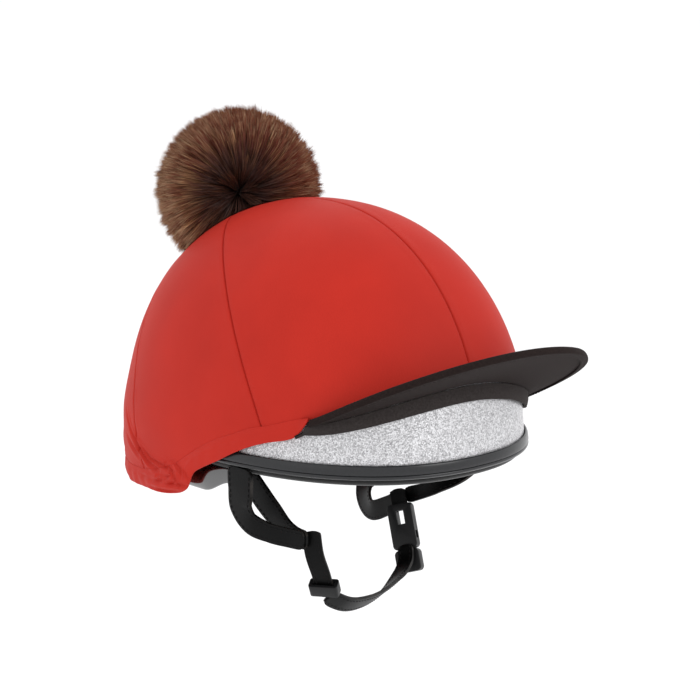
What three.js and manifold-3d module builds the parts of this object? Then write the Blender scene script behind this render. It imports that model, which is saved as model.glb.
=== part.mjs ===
import * as THREE from "three";
import { mergeVertices } from "three/addons/utils/BufferGeometryUtils.js";
import Module from "manifold-3d";

// A jockey's riding cap: a hard skull cap under a six-panel stretch cover with a peak and a
// fur pompom, and a leather chin harness with a side-release buckle.
// Millimetres, +Z up. The front looks towards -Y and the wearer's right is -X. The origin is
// the middle of the head opening, level with the lower edge of the skull cap.
// An azimuth is in degrees from the front, positive towards the wearer's right.

// The skull cap: a rounded dome on an oval plan, upright below the level of the origin
const dome = { halfLength: 138, halfWidth: 104, height: 147, planRound: 2.28, sideRound: 2.15 };
const shell = { face: -0.8, wall: 4, edge: 5.6 };

// The rubber channel on the shell's edge: its legs, their ends and its lower face
const trim = { face: 1.9, gap: 0.45, leg: 2, bevel: 0.8, top: 10.6, innerTop: 9.4, bottom: 2 };

// The padding: its faces inside the shell, its lip under the channel, and the height where the
// crown pad and the band part
const liner = {
  face: -5.8,
  foot: -8,
  lipFace: -2.7,
  back: -18,
  lipTop: 1.5,
  lipBottom: -2.6,
  split: 51,
  splitGap: 0.4,
};

// The cover: cloth thickness, the pole it hangs from, its opening there, and its seams
const cover = { thickness: 1, poleLean: 29, poleHole: 7, sideLean: 0.06, seamGap: 0.4, peakGap: 1.2 };
const seams = [0, 60, 118, 180];
const seamTurns = [...seams, ...seams.slice(1, -1).toReversed().map((turn) => 360 - turn), 360];

// How far the cover's inner face stands off the dome at each height
const standOff = [
  { height: -42, off: -4.5 },
  { height: -28, off: 0.6 },
  { height: -12, off: 2.6 },
  { height: 2, off: 2.8 },
  { height: 13, off: 2.7 },
  { height: 36, off: 0.9 },
  { height: 60, off: 0.5 },
  { height: 147, off: 0.5 },
];

// The cover's lower edges from the peak's corner round to the back: the seam over the elastic
// casing, and the casing's own lower edge
const hem = { start: 47.2, thickness: 2.6, gap: 0.3, wavePeriod: 25, wave: 1 };
const hemLine = [
  { azimuth: 45, seam: 31, edge: 29 },
  { azimuth: 47, seam: 30, edge: 24 },
  { azimuth: 50, seam: 28.5, edge: 18.7 },
  { azimuth: 58, seam: 23, edge: 14 },
  { azimuth: 64, seam: 20, edge: 9.6 },
  { azimuth: 70, seam: 15, edge: 4 },
  { azimuth: 76, seam: 10.5, edge: -2.2 },
  { azimuth: 84, seam: 3, edge: -9.6 },
  { azimuth: 88, seam: -1.5, edge: -14.4 },
  { azimuth: 92, seam: -6, edge: -25.5 },
  { azimuth: 100, seam: -14.5, edge: -31.5 },
  { azimuth: 115, seam: -23, edge: -35.5 },
  { azimuth: 135, seam: -27, edge: -38 },
  { azimuth: 158, seam: -28, edge: -39.5 },
  { azimuth: 180, seam: -28, edge: -39.5 },
];

// The peak: its root line on the dome, its reach and slope, and the edge binding
const peak = {
  halfSpan: 46.7,
  rootHeight: 52.7,
  rootDrop: 40,
  rootRecover: 14.5,
  rootOff: 4.8,
  tuck: 3.4,
  reach: 50.5,
  outline: 2.5,
  fullness: 1.5,
  slope: 27,
  thickness: 2.2,
};
const binding = { depth: 5, thickness: 0.8, gap: 0.3 };
const band = {
  halfSpan: 49.2,
  height: 9.6,
  taper: 4.2,
  fall: 1.1,
  thickness: 2,
  footOff: 0.5,
  headOff: 2.5,
  gap: 0.4,
};

// The pompom: its middle above the pole, its core, and the locks that stand on it
const pompom = { lift: 20, core: 46, tip: 57, spread: 2, locks: 69, lockFoot: 10, lockSides: 5, gap: 0.8 };

// The harness: its depth below the rim and its strap. A row for each bend of a strap gives its
// place as shares of the dome's half width, of its half length and of the harness's depth, and
// its width as a share of the plain strap's. Where a strap passes the liner, inset is its
// distance inside the dome's half width. An end in the buckle's pocket is placed by the buckle
const harness = { depth: 100, width: 11.5, thickness: 2 };
const straps = {
  right_outer_strap: {
    facing: [-1, 0, 0],
    rows: [
      { side: -0.9712, ahead: 0.2862, up: 0.014, wide: 1.913 },
      { side: -0.9712, ahead: 0.2862, up: -0.12, wide: 1.826 },
      { side: -0.9615, ahead: 0.279, up: -0.23, wide: 1.652 },
      { side: -0.9375, ahead: 0.3152, up: -0.32, wide: 1.304 },
      { side: -0.8942, ahead: 0.3986, up: -0.365, wide: 1.043 },
      { side: -0.8462, ahead: 0.4928, up: -0.38, wide: 1 },
      { side: -0.8231, ahead: 0.5725, up: -0.38, wide: 1 },
    ],
  },
  right_inner_strap: {
    facing: [-1, 0, 0],
    rows: [
      { side: -1, inset: 20.5, ahead: 0.1087, up: 0.08, wide: 1.391 },
      { side: -1, inset: 20.5, ahead: 0.1667, up: -0.06, wide: 1.391 },
      { side: -0.7885, ahead: 0.2681, up: -0.21, wide: 1.478 },
      { side: -0.7788, ahead: 0.3406, up: -0.295, wide: 1.391 },
      { side: -0.7846, ahead: 0.4203, up: -0.36, wide: 1.217 },
      { side: -0.7952, ahead: 0.5, up: -0.382, wide: 1.043 },
      { side: -0.8, ahead: 0.5725, up: -0.384, wide: 1 },
    ],
  },
  right_side_strap: {
    facing: [-0.85, -0.5, 0],
    rows: [
      { side: -0.7481, ahead: 0.5543, up: -0.34, wide: 1 },
      { side: -0.7404, ahead: 0.5688, up: -0.48, wide: 1 },
      { side: -0.6923, ahead: 0.5725, up: -0.62, wide: 1 },
      { side: -0.625, ahead: 0.5507, up: -0.77, wide: 1 },
    ],
  },
  left_rear_strap: {
    facing: [1, 0, 0],
    rows: [
      { side: 0.9654, ahead: -0.3043, up: 0.014, wide: 1.739 },
      { side: 0.9519, ahead: -0.3043, up: -0.12, wide: 1.739 },
      { side: 0.8077, ahead: -0.2899, up: -0.4, wide: 1.739 },
      { side: 0.6731, ahead: -0.2536, up: -0.61, wide: 1.565 },
      { side: 0.5962, ahead: -0.1449, up: -0.68, wide: 1.217 },
      { side: 0.5817, ahead: -0.029, up: -0.62, wide: 1.13 },
      { side: 0.5769, ahead: 0.087, up: -0.53, wide: 1.043 },
    ],
  },
  left_front_strap: {
    facing: [0.95, -0.3, 0],
    rows: [
      { side: 0.9288, ahead: 0.4565, up: 0.014, wide: 1.043 },
      { side: 0.9038, ahead: 0.4493, up: -0.1, wide: 0.957 },
      { side: 0.7692, ahead: 0.3768, up: -0.3, wide: 0.87 },
      { side: 0.6635, ahead: 0.2609, up: -0.415, wide: 0.783 },
      { side: 0.6192, ahead: 0.1014, up: -0.51, wide: 0.957 },
    ],
  },
  left_side_strap: {
    facing: [0.85, 0.5, 0],
    rows: [
      { side: 0.5433, ahead: 0.0739, up: -0.464, wide: 0.913 },
      { inPocket: true, wide: 0.913 },
    ],
  },
  chin_strap: {
    facing: [-0.6, -0.75, -0.25],
    endFacing: [0.865, 0.415, -0.281],
    rows: [
      { side: -0.6115, ahead: 0.5457, up: -0.781, wide: 1 },
      { side: -0.4423, ahead: 0.529, up: -0.87, wide: 1 },
      { side: -0.2308, ahead: 0.4783, up: -0.92, wide: 1 },
      { side: 0, ahead: 0.3986, up: -0.945, wide: 1 },
      { side: 0.1923, ahead: 0.3225, up: -0.945, wide: 1 },
      { side: 0.3365, ahead: 0.2717, up: -0.91, wide: 0.957 },
      { side: 0.4212, ahead: 0.2319, up: -0.87, wide: 0.913 },
      { side: 0.4615, ahead: 0.1957, up: -0.792, wide: 0.913 },
    ],
  },
};

// The nape pad: from behind the outer strap round the back, close under the padding's lip. It
// is lowest from the end of its settle on, and endTurns are where its sections lie before that
const nape = {
  from: 70,
  to: 241.5,
  face: -3.4,
  bulge: 1.2,
  thickness: 3,
  gap: 0.6,
  endHeight: 9.4,
  height: 17.8,
  settleFrom: 5,
  endTurns: [0, 5, 9, 13, 18],
};

// The keeper and the buckle
const keeper = { width: 18, height: 8, depth: 8, window: 12.6, windowHeight: 3.2, place: 0.86 };
const buckle = {
  width: 16.6,
  thickness: 7,
  socket: 30,
  tongue: 15,
  corner: 3,
  pocket: { width: 11.3, height: 2.8, depth: 5, clearance: 1 },
  window: { width: 5, height: 9, place: 21 },
  prong: { width: 3, length: 13, thickness: 3 },
  play: 0.35,
  top: { side: 0.5317, ahead: 0.1017, up: -0.5566 },
  foot: { side: 0.4808, ahead: 0.2246, up: -0.97 },
  facing: [0.85, 0.5, 0],
};

const mix = (low, high, share) => low + (high - low) * share;
const signedPower = (value, power) => Math.sign(value) * Math.abs(value) ** power;

// A smooth reading of one column of a table at a place along another column
function readTable(rows, along, column, at) {
  const last = rows.length - 1;
  const place = Math.min(Math.max(at, rows[0][along]), rows[last][along]);
  let i = 0;
  while (i < last - 1 && rows[i + 1][along] < place) i += 1;
  const slope = (k) => {
    const a = rows[Math.max(k - 1, 0)];
    const b = rows[Math.min(k + 1, last)];
    return (b[column] - a[column]) / (b[along] - a[along]);
  };
  const step = rows[i + 1][along] - rows[i][along];
  const t = (place - rows[i][along]) / step;
  const ease = t * t * (3 - 2 * t);
  const bend = t * (1 - t) * step * ((1 - t) * slope(i) - t * slope(i + 1));
  return mix(rows[i][column], rows[i + 1][column], ease) + bend;
}

const outwardAt = (azimuth) => {
  const turn = THREE.MathUtils.degToRad(azimuth);
  return new THREE.Vector3(-Math.sin(turn), -Math.cos(turn), 0);
};

// The dome's plain surface at an azimuth and height
function domePoint(azimuth, height) {
  const outward = outwardAt(azimuth);
  const { halfLength, halfWidth, planRound, sideRound } = dome;
  const across = Math.abs(outward.x / halfWidth) ** planRound;
  const ahead = Math.abs(outward.y / halfLength) ** planRound;
  const rise = Math.max(height, 0) / dome.height;
  const radius = (1 - rise ** sideRound) ** (1 / sideRound) / (across + ahead) ** (1 / planRound);
  return outward.multiplyScalar(radius).setZ(height);
}

// The dome's surface straight out from the origin along a direction
function domeAlong(direction) {
  const { halfLength, halfWidth, planRound, sideRound } = dome;
  const plan =
    Math.abs(direction.x / halfWidth) ** planRound + Math.abs(direction.y / halfLength) ** planRound;
  const rise = Math.max(direction.z, 0) / dome.height;
  const level = plan ** (sideRound / planRound) + rise ** sideRound;
  return direction.clone().multiplyScalar(level ** (-1 / sideRound));
}

// The outward normal at a point of the dome's surface
function domeNormal(point) {
  const { halfLength, halfWidth, planRound, sideRound } = dome;
  const across = Math.abs(point.x / halfWidth) ** planRound;
  const ahead = Math.abs(point.y / halfLength) ** planRound;
  const scale = Math.max(across + ahead, 1e-9) ** (sideRound / planRound - 1);
  return new THREE.Vector3(
    (scale * signedPower(point.x / halfWidth, planRound - 1)) / halfWidth,
    (scale * signedPower(point.y / halfLength, planRound - 1)) / halfLength,
    (Math.max(point.z, 0) / dome.height) ** (sideRound - 1) / dome.height,
  ).normalize();
}

const offDome = (point, off) => point.clone().addScaledVector(domeNormal(point), off);
const onDome = (azimuth, height, off) => offDome(domePoint(azimuth, height), off);

// A closed body through sections, each a face row and a back row of as many points
function layerBody(sections, loop = false) {
  const places = [];
  const known = new Map();
  const faces = [];
  const indexOf = (point) => {
    const name = point.toArray().map((value) => Math.round(value * 1e4)).join();
    if (!known.has(name)) {
      known.set(name, places.length);
      places.push(point);
    }
    return known.get(name);
  };
  const addFace = (a, b, c) => {
    if (a !== b && b !== c && c !== a) faces.push([a, b, c]);
  };
  const rings = sections.map(({ face, back }) => [...face, ...back.toReversed()].map(indexOf));
  const around = rings[0].length;
  rings.forEach((ring, i) => {
    if (!loop && i === rings.length - 1) return;
    const next = rings[(i + 1) % rings.length];
    for (let j = 0; j < around; j += 1) {
      const k = (j + 1) % around;
      addFace(ring[j], next[j], next[k]);
      addFace(ring[j], next[k], ring[k]);
    }
  });
  const closeEnd = (ring, front) => {
    for (let j = 0; j < around / 2 - 1; j += 1) {
      const [a, b, c, d] = [ring[j], ring[j + 1], ring[around - 2 - j], ring[around - 1 - j]];
      if (front) {
        addFace(a, b, c);
        addFace(a, c, d);
      } else {
        addFace(a, c, b);
        addFace(a, d, c);
      }
    }
  };
  if (!loop) {
    closeEnd(rings[0], true);
    closeEnd(rings.at(-1), false);
  }
  const volume = faces.reduce((total, [a, b, c]) => {
    const normal = places[b].clone().cross(places[c]);
    return total + places[a].dot(normal);
  }, 0);
  const index = faces.flatMap(([a, b, c]) => (volume > 0 ? [a, b, c] : [a, c, b]));
  const geometry = new THREE.BufferGeometry();
  geometry.setAttribute(
    "position",
    new THREE.Float32BufferAttribute(places.flatMap((point) => point.toArray()), 3),
  );
  geometry.setIndex(index);
  return geometry;
}

const steps = (count, from, to) =>
  Array.from({ length: count + 1 }, (_, i) => mix(from, to, i / count));
const ringAzimuths = (count) => Array.from({ length: count }, (_, i) => (360 * i) / count);

// Heights down the dome in equal turns of its side, from the top to a lower height
const domeHeights = (count, foot) => {
  const start = Math.asin(foot / dome.height);
  return steps(count, Math.PI / 2, start).map((turn) => dome.height * Math.sin(turn));
};

function skullShell() {
  const heights = domeHeights(8, shell.edge);
  const sections = ringAzimuths(48).map((azimuth) => ({
    face: heights.map((height) => onDome(azimuth, height, shell.face)),
    back: heights.map((height) => onDome(azimuth, height, shell.face - shell.wall)),
  }));
  return layerBody(sections, true);
}

function edgeTrim() {
  const outside = shell.face + trim.gap;
  const inside = shell.face - shell.wall - trim.gap;
  const under = shell.edge - trim.gap;
  const back = inside - trim.leg;
  const profile = [
    { off: outside, height: trim.top - trim.bevel, backOff: trim.face - trim.bevel, backHeight: trim.top },
    { off: outside, height: under + trim.leg, backOff: trim.face, backHeight: trim.top - trim.leg },
    { off: outside, height: under, backOff: trim.face, backHeight: trim.bottom + trim.leg },
    { off: inside, height: under, backOff: trim.face - trim.leg, backHeight: trim.bottom },
    { off: inside, height: trim.innerTop, backOff: back, backHeight: trim.bottom },
    { off: inside - trim.bevel, height: trim.innerTop, backOff: back, backHeight: trim.innerTop },
  ];
  const sections = ringAzimuths(48).map((azimuth) => ({
    face: profile.map((row) => onDome(azimuth, row.height, row.off)),
    back: profile.map((row) => onDome(azimuth, row.backHeight, row.backOff)),
  }));
  return layerBody(sections, true);
}

function linerBody(rows) {
  const sections = ringAzimuths(32).map((azimuth) => ({
    face: rows.map(({ height, off }) => onDome(azimuth, height, off)),
    back: rows.map(({ height, low = height, back }) => onDome(azimuth, low, back)),
  }));
  return layerBody(sections, true);
}

const linerRow = (height) => ({ height, off: liner.face, back: liner.back });

function linerCrown() {
  return linerBody(domeHeights(4, liner.split + liner.splitGap / 2).map(linerRow));
}

function linerBand() {
  const lip = [
    { height: 11, off: liner.foot, back: liner.back },
    { height: liner.lipTop, off: liner.foot, back: liner.back + 1 },
    { height: liner.lipTop, off: liner.lipFace, back: liner.back + 2 },
    { height: liner.lipBottom, off: liner.lipFace - 1.5, back: liner.back + 4 },
  ];
  const lipRows = lip.map((row, i) => ({ ...row, low: mix(12, liner.lipBottom, (i + 1) / lip.length) }));
  return linerBody([linerRow(liner.split - liner.splitGap / 2), linerRow(16), ...lipRows]);
}

// The cover leans down to the wearer's left, so that its right side sits higher
const leanAt = (point) => -cover.sideLean * point.x;
const peakRoot = (azimuth) => {
  const share = azimuth / peak.halfSpan;
  return peak.rootHeight - peak.rootDrop * share ** 2 + peak.rootRecover * share ** 4;
};
const polarLean = THREE.MathUtils.degToRad(cover.poleLean);
const pole = new THREE.Vector3(0, Math.sin(polarLean), Math.cos(polarLean));

// The height of the cover's lower line at an azimuth: over the peak, or on the hem's seam
function coverEdgeHeight(azimuth) {
  const turn = Math.abs(azimuth);
  const overPeak = peakRoot(Math.min(turn, peak.halfSpan)) + peak.thickness / 2 + cover.peakGap;
  const height = turn < hem.start ? overPeak : readTable(hemLine, "azimuth", "seam", turn);
  return height + leanAt(domePoint(azimuth, height));
}

// A point of the cover: down the great circle from the pole to its lower line
function coverPoint(azimuth, share, lift) {
  const edge = domePoint(azimuth, coverEdgeHeight(azimuth)).normalize();
  const poleGap = cover.poleHole / domeAlong(pole).length();
  const full = pole.angleTo(edge);
  const angle = mix(poleGap, full, share);
  const side = edge.clone().addScaledVector(pole, -pole.dot(edge)).normalize();
  const direction = pole.clone().multiplyScalar(Math.cos(angle)).addScaledVector(side, Math.sin(angle));
  const point = domeAlong(direction);
  const off = readTable(standOff, "height", "off", point.z);
  return offDome(point, off + lift);
}

const panelColumns = 10;
const panelRows = 10;

function coverPanel(from, to) {
  const azimuths = steps(panelColumns, from, to);
  const shares = steps(panelRows, 0, 1);
  const column = (azimuth, lift) => shares.map((share) => coverPoint(azimuth, share, lift));
  const faces = azimuths.map((azimuth) => column(azimuth, cover.thickness));
  const backs = azimuths.map((azimuth) => column(azimuth, 0));
  const drawIn = (rows, at, toward) => {
    rows[at].forEach((point, j) => {
      const across = rows[toward][j].clone().sub(point).normalize();
      point.addScaledVector(across, cover.seamGap / 2);
    });
  };
  [faces, backs].forEach((rows) => {
    drawIn(rows, 0, 1);
    drawIn(rows, rows.length - 1, rows.length - 2);
  });
  return layerBody(faces.map((face, i) => ({ face, back: backs[i] })));
}

function hemCasing() {
  const columns = seamTurns.slice(1).flatMap((to, i) => steps(panelColumns, seamTurns[i], to).slice(1));
  const inside = columns.filter((azimuth) => azimuth > hem.start + 1 && azimuth < 359 - hem.start);
  const azimuths = [hem.start, ...inside, 360 - hem.start];
  const fold = [
    { share: 0, bulge: 0.5 },
    { share: 0.5, bulge: 1 },
    { share: 1, bulge: 0.5 },
  ];
  const sections = azimuths.map((azimuth) => {
    const turn = azimuth > 180 ? 360 - azimuth : azimuth;
    const seam = readTable(hemLine, "azimuth", "seam", turn) - hem.gap;
    const edge = readTable(hemLine, "azimuth", "edge", turn);
    const backShare = THREE.MathUtils.smoothstep(turn, 90, 130);
    const wave = hem.wave * backShare * Math.sin((2 * Math.PI * azimuth) / hem.wavePeriod);
    const rowPoint = (row, thick) => {
      const height = mix(seam, edge, row.share);
      const level = height + leanAt(domePoint(azimuth, height));
      const off = readTable(standOff, "height", "off", level);
      return onDome(azimuth, level, off + thick * hem.thickness * row.bulge + wave * row.share);
    };
    return {
      face: fold.map((row) => rowPoint(row, 1)),
      back: fold.map((row) => rowPoint(row, 0)),
    };
  });
  return layerBody(sections);
}

// A point on the peak: out from its root line and up from its middle surface
function peakPoint(azimuth, distance, lift) {
  const slope = THREE.MathUtils.degToRad(peak.slope);
  const outward = outwardAt(azimuth);
  const along = outward.clone().multiplyScalar(Math.cos(slope)).setZ(Math.sin(slope));
  const up = outward.clone().multiplyScalar(-Math.sin(slope)).setZ(Math.cos(slope));
  const flat = new THREE.Vector3(0, 0, 1);
  const bent = up.lerp(flat, Math.min(Math.max(-distance / peak.tuck, 0), 1)).normalize();
  const point = domePoint(azimuth, peakRoot(azimuth)).addScaledVector(outward, peak.rootOff);
  point.addScaledVector(outward, Math.min(distance, 0)).addScaledVector(along, Math.max(distance, 0));
  point.addScaledVector(bent, lift);
  return point.setZ(point.z + leanAt(point));
}

const peakReach = (azimuth) => {
  const share = Math.abs(azimuth) / peak.halfSpan;
  const plan = peak.reach * (1 - share ** peak.outline) ** peak.fullness;
  return plan / Math.cos(THREE.MathUtils.degToRad(peak.slope));
};

const peakAzimuths = steps(24, -peak.halfSpan + 0.5, peak.halfSpan - 0.5);

function peakBody() {
  const half = peak.thickness / 2;
  const sections = peakAzimuths.map((azimuth) => {
    const distances = [-peak.tuck, ...steps(2, 0, peakReach(azimuth))];
    return {
      face: distances.map((distance) => peakPoint(azimuth, distance, half * 2 + band.gap)),
      back: distances.map((distance) => peakPoint(azimuth, distance, band.gap)),
    };
  });
  return layerBody(sections);
}

function peakBinding() {
  const middle = peak.thickness / 2 + band.gap;
  const inner = peak.thickness / 2 + binding.gap;
  const outer = inner + binding.thickness;
  const sections = peakAzimuths.slice(1, -1).map((azimuth) => {
    const reach = peakReach(azimuth);
    const depth = Math.min(binding.depth, reach * 0.55);
    const place = ([distance, lift]) => peakPoint(azimuth, distance, lift + middle);
    const path = (height, lap) => [
      [reach - depth, height],
      [reach + lap, height * 0.8],
      [reach + lap, -height * 0.8],
      [reach - depth, -height],
    ];
    return {
      face: path(outer, binding.gap + binding.thickness).map(place),
      back: path(inner, binding.gap).map(place),
    };
  });
  return layerBody(sections);
}

// The band's upper and lower lines at an azimuth: under the peak, then under the hem's corner
function bandLines(azimuth) {
  const turn = Math.abs(azimuth);
  const root = peakRoot(Math.min(turn, peak.halfSpan));
  const tall = band.height - band.taper * Math.min(turn / peak.halfSpan, 1) ** 4;
  const past = Math.max(turn - peak.halfSpan, 0);
  const head = turn < hem.start - 0.3 ? root : readTable(hemLine, "azimuth", "edge", turn) - band.gap;
  return { head: Math.min(root, head), foot: root - tall - band.fall * past };
}

function peakBand() {
  const { thickness } = band;
  const under = peak.halfSpan - 0.1;
  const ends = [hem.start - 0.2, band.halfSpan];
  const azimuths = [...ends.toReversed().map((turn) => -turn), ...steps(24, -under, under), ...ends];
  const sections = azimuths.map((azimuth) => {
    const { head, foot } = bandLines(azimuth);
    const edgePoint = (height, off) => {
      const point = domePoint(azimuth, height).addScaledVector(outwardAt(azimuth), off);
      return point.setZ(point.z + leanAt(point));
    };
    return {
      face: [edgePoint(head, band.headOff + thickness), edgePoint(foot, band.footOff + thickness)],
      back: [edgePoint(head, band.headOff), edgePoint(foot, band.footOff)],
    };
  });
  return layerBody(sections);
}

const wasm = await Module();
wasm.setup();

// A closed geometry as a solid, ready to join or cut
function solidOf(geometry) {
  const bare = geometry.clone();
  bare.deleteAttribute("normal");
  bare.deleteAttribute("uv");
  const merged = mergeVertices(bare, 1e-4);
  return new wasm.Manifold(
    new wasm.Mesh({
      numProp: 3,
      vertProperties: merged.attributes.position.array,
      triVerts: new Uint32Array(merged.index.array),
    }),
  );
}

function geometryOf(solid) {
  const mesh = solid.getMesh();
  const geometry = new THREE.BufferGeometry();
  geometry.setAttribute("position", new THREE.BufferAttribute(mesh.vertProperties, 3));
  geometry.setIndex(new THREE.BufferAttribute(mesh.triVerts, 1));
  return geometry;
}

// A full dome outside the cover, which cuts the pompom's underside to lie on it
function coverClearance() {
  const clearance = standOff.at(-1).off + cover.thickness + pompom.gap;
  const heights = domeHeights(14, 20);
  const sections = ringAzimuths(60).map((azimuth) => ({
    face: heights.map((height) => onDome(azimuth, height, clearance)),
    back: heights.map(() => new THREE.Vector3(0, 0, 20)),
  }));
  return layerBody(sections, true);
}

function pompomBody() {
  const foot = domeAlong(pole);
  const middle = offDome(foot, pompom.lift);
  const down = domeNormal(foot).negate();
  const core = new THREE.IcosahedronGeometry(pompom.core, 4).translate(...middle.toArray());
  let solid = solidOf(core);
  const golden = Math.PI * (3 - Math.sqrt(5));
  for (let i = 0; i < pompom.locks; i += 1) {
    const level = 1 - (2 * (i + 0.5)) / pompom.locks;
    const ring = Math.sqrt(1 - level * level);
    const direction = new THREE.Vector3(ring * Math.cos(golden * i), ring * Math.sin(golden * i), level);
    if (direction.dot(down) > 0.7) continue;
    const length = pompom.tip - pompom.core + pompom.lockFoot + pompom.spread * Math.sin(7 * i);
    const lock = new THREE.ConeGeometry(pompom.lockFoot, length, pompom.lockSides);
    lock.translate(0, length / 2, 0);
    lock.applyQuaternion(new THREE.Quaternion().setFromUnitVectors(new THREE.Vector3(0, 1, 0), direction));
    lock.translate(...middle.clone().addScaledVector(direction, pompom.core - pompom.lockFoot).toArray());
    solid = solid.add(solidOf(lock));
  }
  return geometryOf(solid.subtract(solidOf(coverClearance())));
}

// A place in the harness from its shares
const sharePoint = ({ side, inset = 0, ahead, up }) =>
  new THREE.Vector3(side * (dome.halfWidth - inset), -ahead * dome.halfLength, up * harness.depth);

// The run of the buckle, from its foot to the top of its socket
const buckleRun = () => sharePoint(buckle.top).sub(sharePoint(buckle.foot)).normalize();
const socketPoint = (depth) => sharePoint(buckle.top).addScaledVector(buckleRun(), -depth);

// A place in the harness from its row
const harnessPoint = (row) =>
  row.inPocket ? socketPoint(buckle.pocket.depth - buckle.pocket.clearance) : sharePoint(row);

// The frame of a strap at a share of its length: its middle, run, width way and face way
function strapFrame({ facing, endFacing = facing, rows }, share) {
  const curve = new THREE.CatmullRomCurve3(rows.map(harnessPoint), false, "centripetal");
  const along = curve.getTangent(share);
  const outward = new THREE.Vector3(...facing).lerp(new THREE.Vector3(...endFacing), share);
  const across = along.clone().cross(outward).normalize();
  return { middle: curve.getPoint(share), along, across, face: across.clone().cross(along) };
}

// A strap: a flat ribbon through its rows, with its width across the way it faces
function strapBody(strap) {
  const spans = strap.rows.length - 1;
  const sections = steps(spans * 3, 0, 1).map((share) => {
    const { middle, across, face } = strapFrame(strap, share);
    const low = Math.min(Math.floor(share * spans), spans - 1);
    const wide = mix(strap.rows[low].wide, strap.rows[low + 1].wide, share * spans - low);
    const half = (wide * harness.width) / 2;
    const corner = (side, depth) =>
      middle.clone().addScaledVector(across, side).addScaledVector(face, (depth * harness.thickness) / 2);
    return { face: [corner(-half, 1), corner(half, 1)], back: [corner(-half, -1), corner(half, -1)] };
  });
  return layerBody(sections);
}

function roundedShape(width, height, corner) {
  const shape = new THREE.Shape();
  const x = width / 2;
  const y = height / 2;
  shape.moveTo(-x + corner, -y).lineTo(x - corner, -y);
  shape.absarc(x - corner, -y + corner, corner, -Math.PI / 2, 0, false);
  shape.absarc(x - corner, y - corner, corner, 0, Math.PI / 2, false);
  shape.absarc(-x + corner, y - corner, corner, Math.PI / 2, Math.PI, false);
  shape.absarc(-x + corner, -y + corner, corner, Math.PI, Math.PI * 1.5, false);
  return shape;
}

// A plate with rounded corners and middle at a height, as a solid
function plate(width, height, thickness, corner, middle) {
  const options = { depth: thickness, bevelEnabled: false, curveSegments: 3 };
  const geometry = new THREE.ExtrudeGeometry(roundedShape(width, height, corner), options);
  return solidOf(geometry.translate(0, middle, -thickness / 2));
}

function napePad() {
  const top = liner.lipBottom - nape.gap;
  const settled = nape.endTurns.at(-1);
  const middles = steps(8, nape.from + settled, nape.to - settled).slice(1, -1);
  const azimuths = [
    ...nape.endTurns.map((turn) => nape.from + turn),
    ...middles,
    ...nape.endTurns.toReversed().map((turn) => nape.to - turn),
  ];
  const sections = azimuths.map((azimuth) => {
    const turn = Math.min(azimuth - nape.from, nape.to - azimuth);
    const settle = THREE.MathUtils.smoothstep(turn, nape.settleFrom, settled);
    const height = mix(nape.endHeight, nape.height, settle);
    const rows = [
      { low: 0, off: nape.face },
      { low: 0.5, off: nape.face + nape.bulge * settle },
      { low: 1, off: nape.face },
    ];
    return {
      face: rows.map(({ low, off }) => onDome(azimuth, top - low * height, off)),
      back: rows.map(({ low }) => onDome(azimuth, top - low * height, nape.face - nape.thickness)),
    };
  });
  return layerBody(sections);
}

function box(width, height, depth, x, y) {
  return solidOf(new THREE.BoxGeometry(width, height, depth).translate(x, y, 0));
}

// The buckle lies along its own Y, with the parting line between its halves at 0
function buckleSocket() {
  const { width, thickness, socket, corner, pocket, window, prong, play } = buckle;
  const room = prong.length + 2 * play;
  const notch = 5;
  return geometryOf(
    plate(width, socket, thickness, corner, socket / 2)
      .subtract(box(pocket.width, pocket.depth * 2, pocket.height, 0, socket))
      .subtract(box(width - 4, room * 2, prong.thickness + 2 * play, 0, 0))
      .subtract(box(width * 2, notch, prong.thickness + 2 * play, 0, room - notch))
      .subtract(box(window.width, window.height, thickness * 2, 0, window.place)),
  );
}

function buckleTongue() {
  const { width, thickness, tongue, corner, prong, play } = buckle;
  const prongMiddle = (prong.length - 2) / 2;
  const arm = width / 2 - 2 - play - prong.width / 2;
  const barb = prong.length - 4;
  return geometryOf(
    plate(width, tongue - play, thickness, corner, -(tongue + play) / 2)
      .add(box(prong.width, prong.length + 2, prong.thickness, -arm, prongMiddle))
      .add(box(prong.width, prong.length + 2, prong.thickness, arm, prongMiddle))
      .add(box(prong.width, prong.length, prong.thickness, 0, prongMiddle - 1))
      .add(box(width - 2, 3, prong.thickness, 0, barb).subtract(box(width - 8, 4, thickness, 0, barb))),
  );
}

function keeperLoop() {
  const { width, height, depth, window, windowHeight } = keeper;
  const opening = box(window, windowHeight, depth * 2, 0, 0);
  return geometryOf(plate(width, height, depth, 2, 0).subtract(opening));
}

// Materials by what each piece is made of
const looks = {
  shell: { color: 0xcfcfcd, roughness: 0.35, metalness: 0.4 },
  rubber: { color: 0x1d1e20, roughness: 0.25, metalness: 0 },
  padding: { color: 0x151515, roughness: 0.9, metalness: 0 },
  cover: { color: 0xc4342a, roughness: 0.75, metalness: 0 },
  peak: { color: 0x3a3230, roughness: 0.85, metalness: 0 },
  fur: { color: 0x5f3524, roughness: 0.9, metalness: 0 },
  leather: { color: 0x1c1b1b, roughness: 0.5, metalness: 0 },
  plastic: { color: 0x121212, roughness: 0.4, metalness: 0 },
};

const cap = new THREE.Group();

function add(name, geometry, look, parent = cap) {
  const mesh = new THREE.Mesh(geometry, new THREE.MeshStandardMaterial(looks[look]));
  mesh.name = name;
  parent.add(mesh);
  return mesh;
}

// A group at a place whose own axes run along three given ways
function placedGroup(place, across, along, face) {
  const group = new THREE.Group();
  group.position.copy(place);
  group.quaternion.setFromRotationMatrix(new THREE.Matrix4().makeBasis(across, along, face));
  cap.add(group);
  return group;
}

add("skull_shell", skullShell(), "shell");
add("edge_trim", edgeTrim(), "rubber");
add("liner_crown", linerCrown(), "padding");
add("liner_band", linerBand(), "padding");

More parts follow.
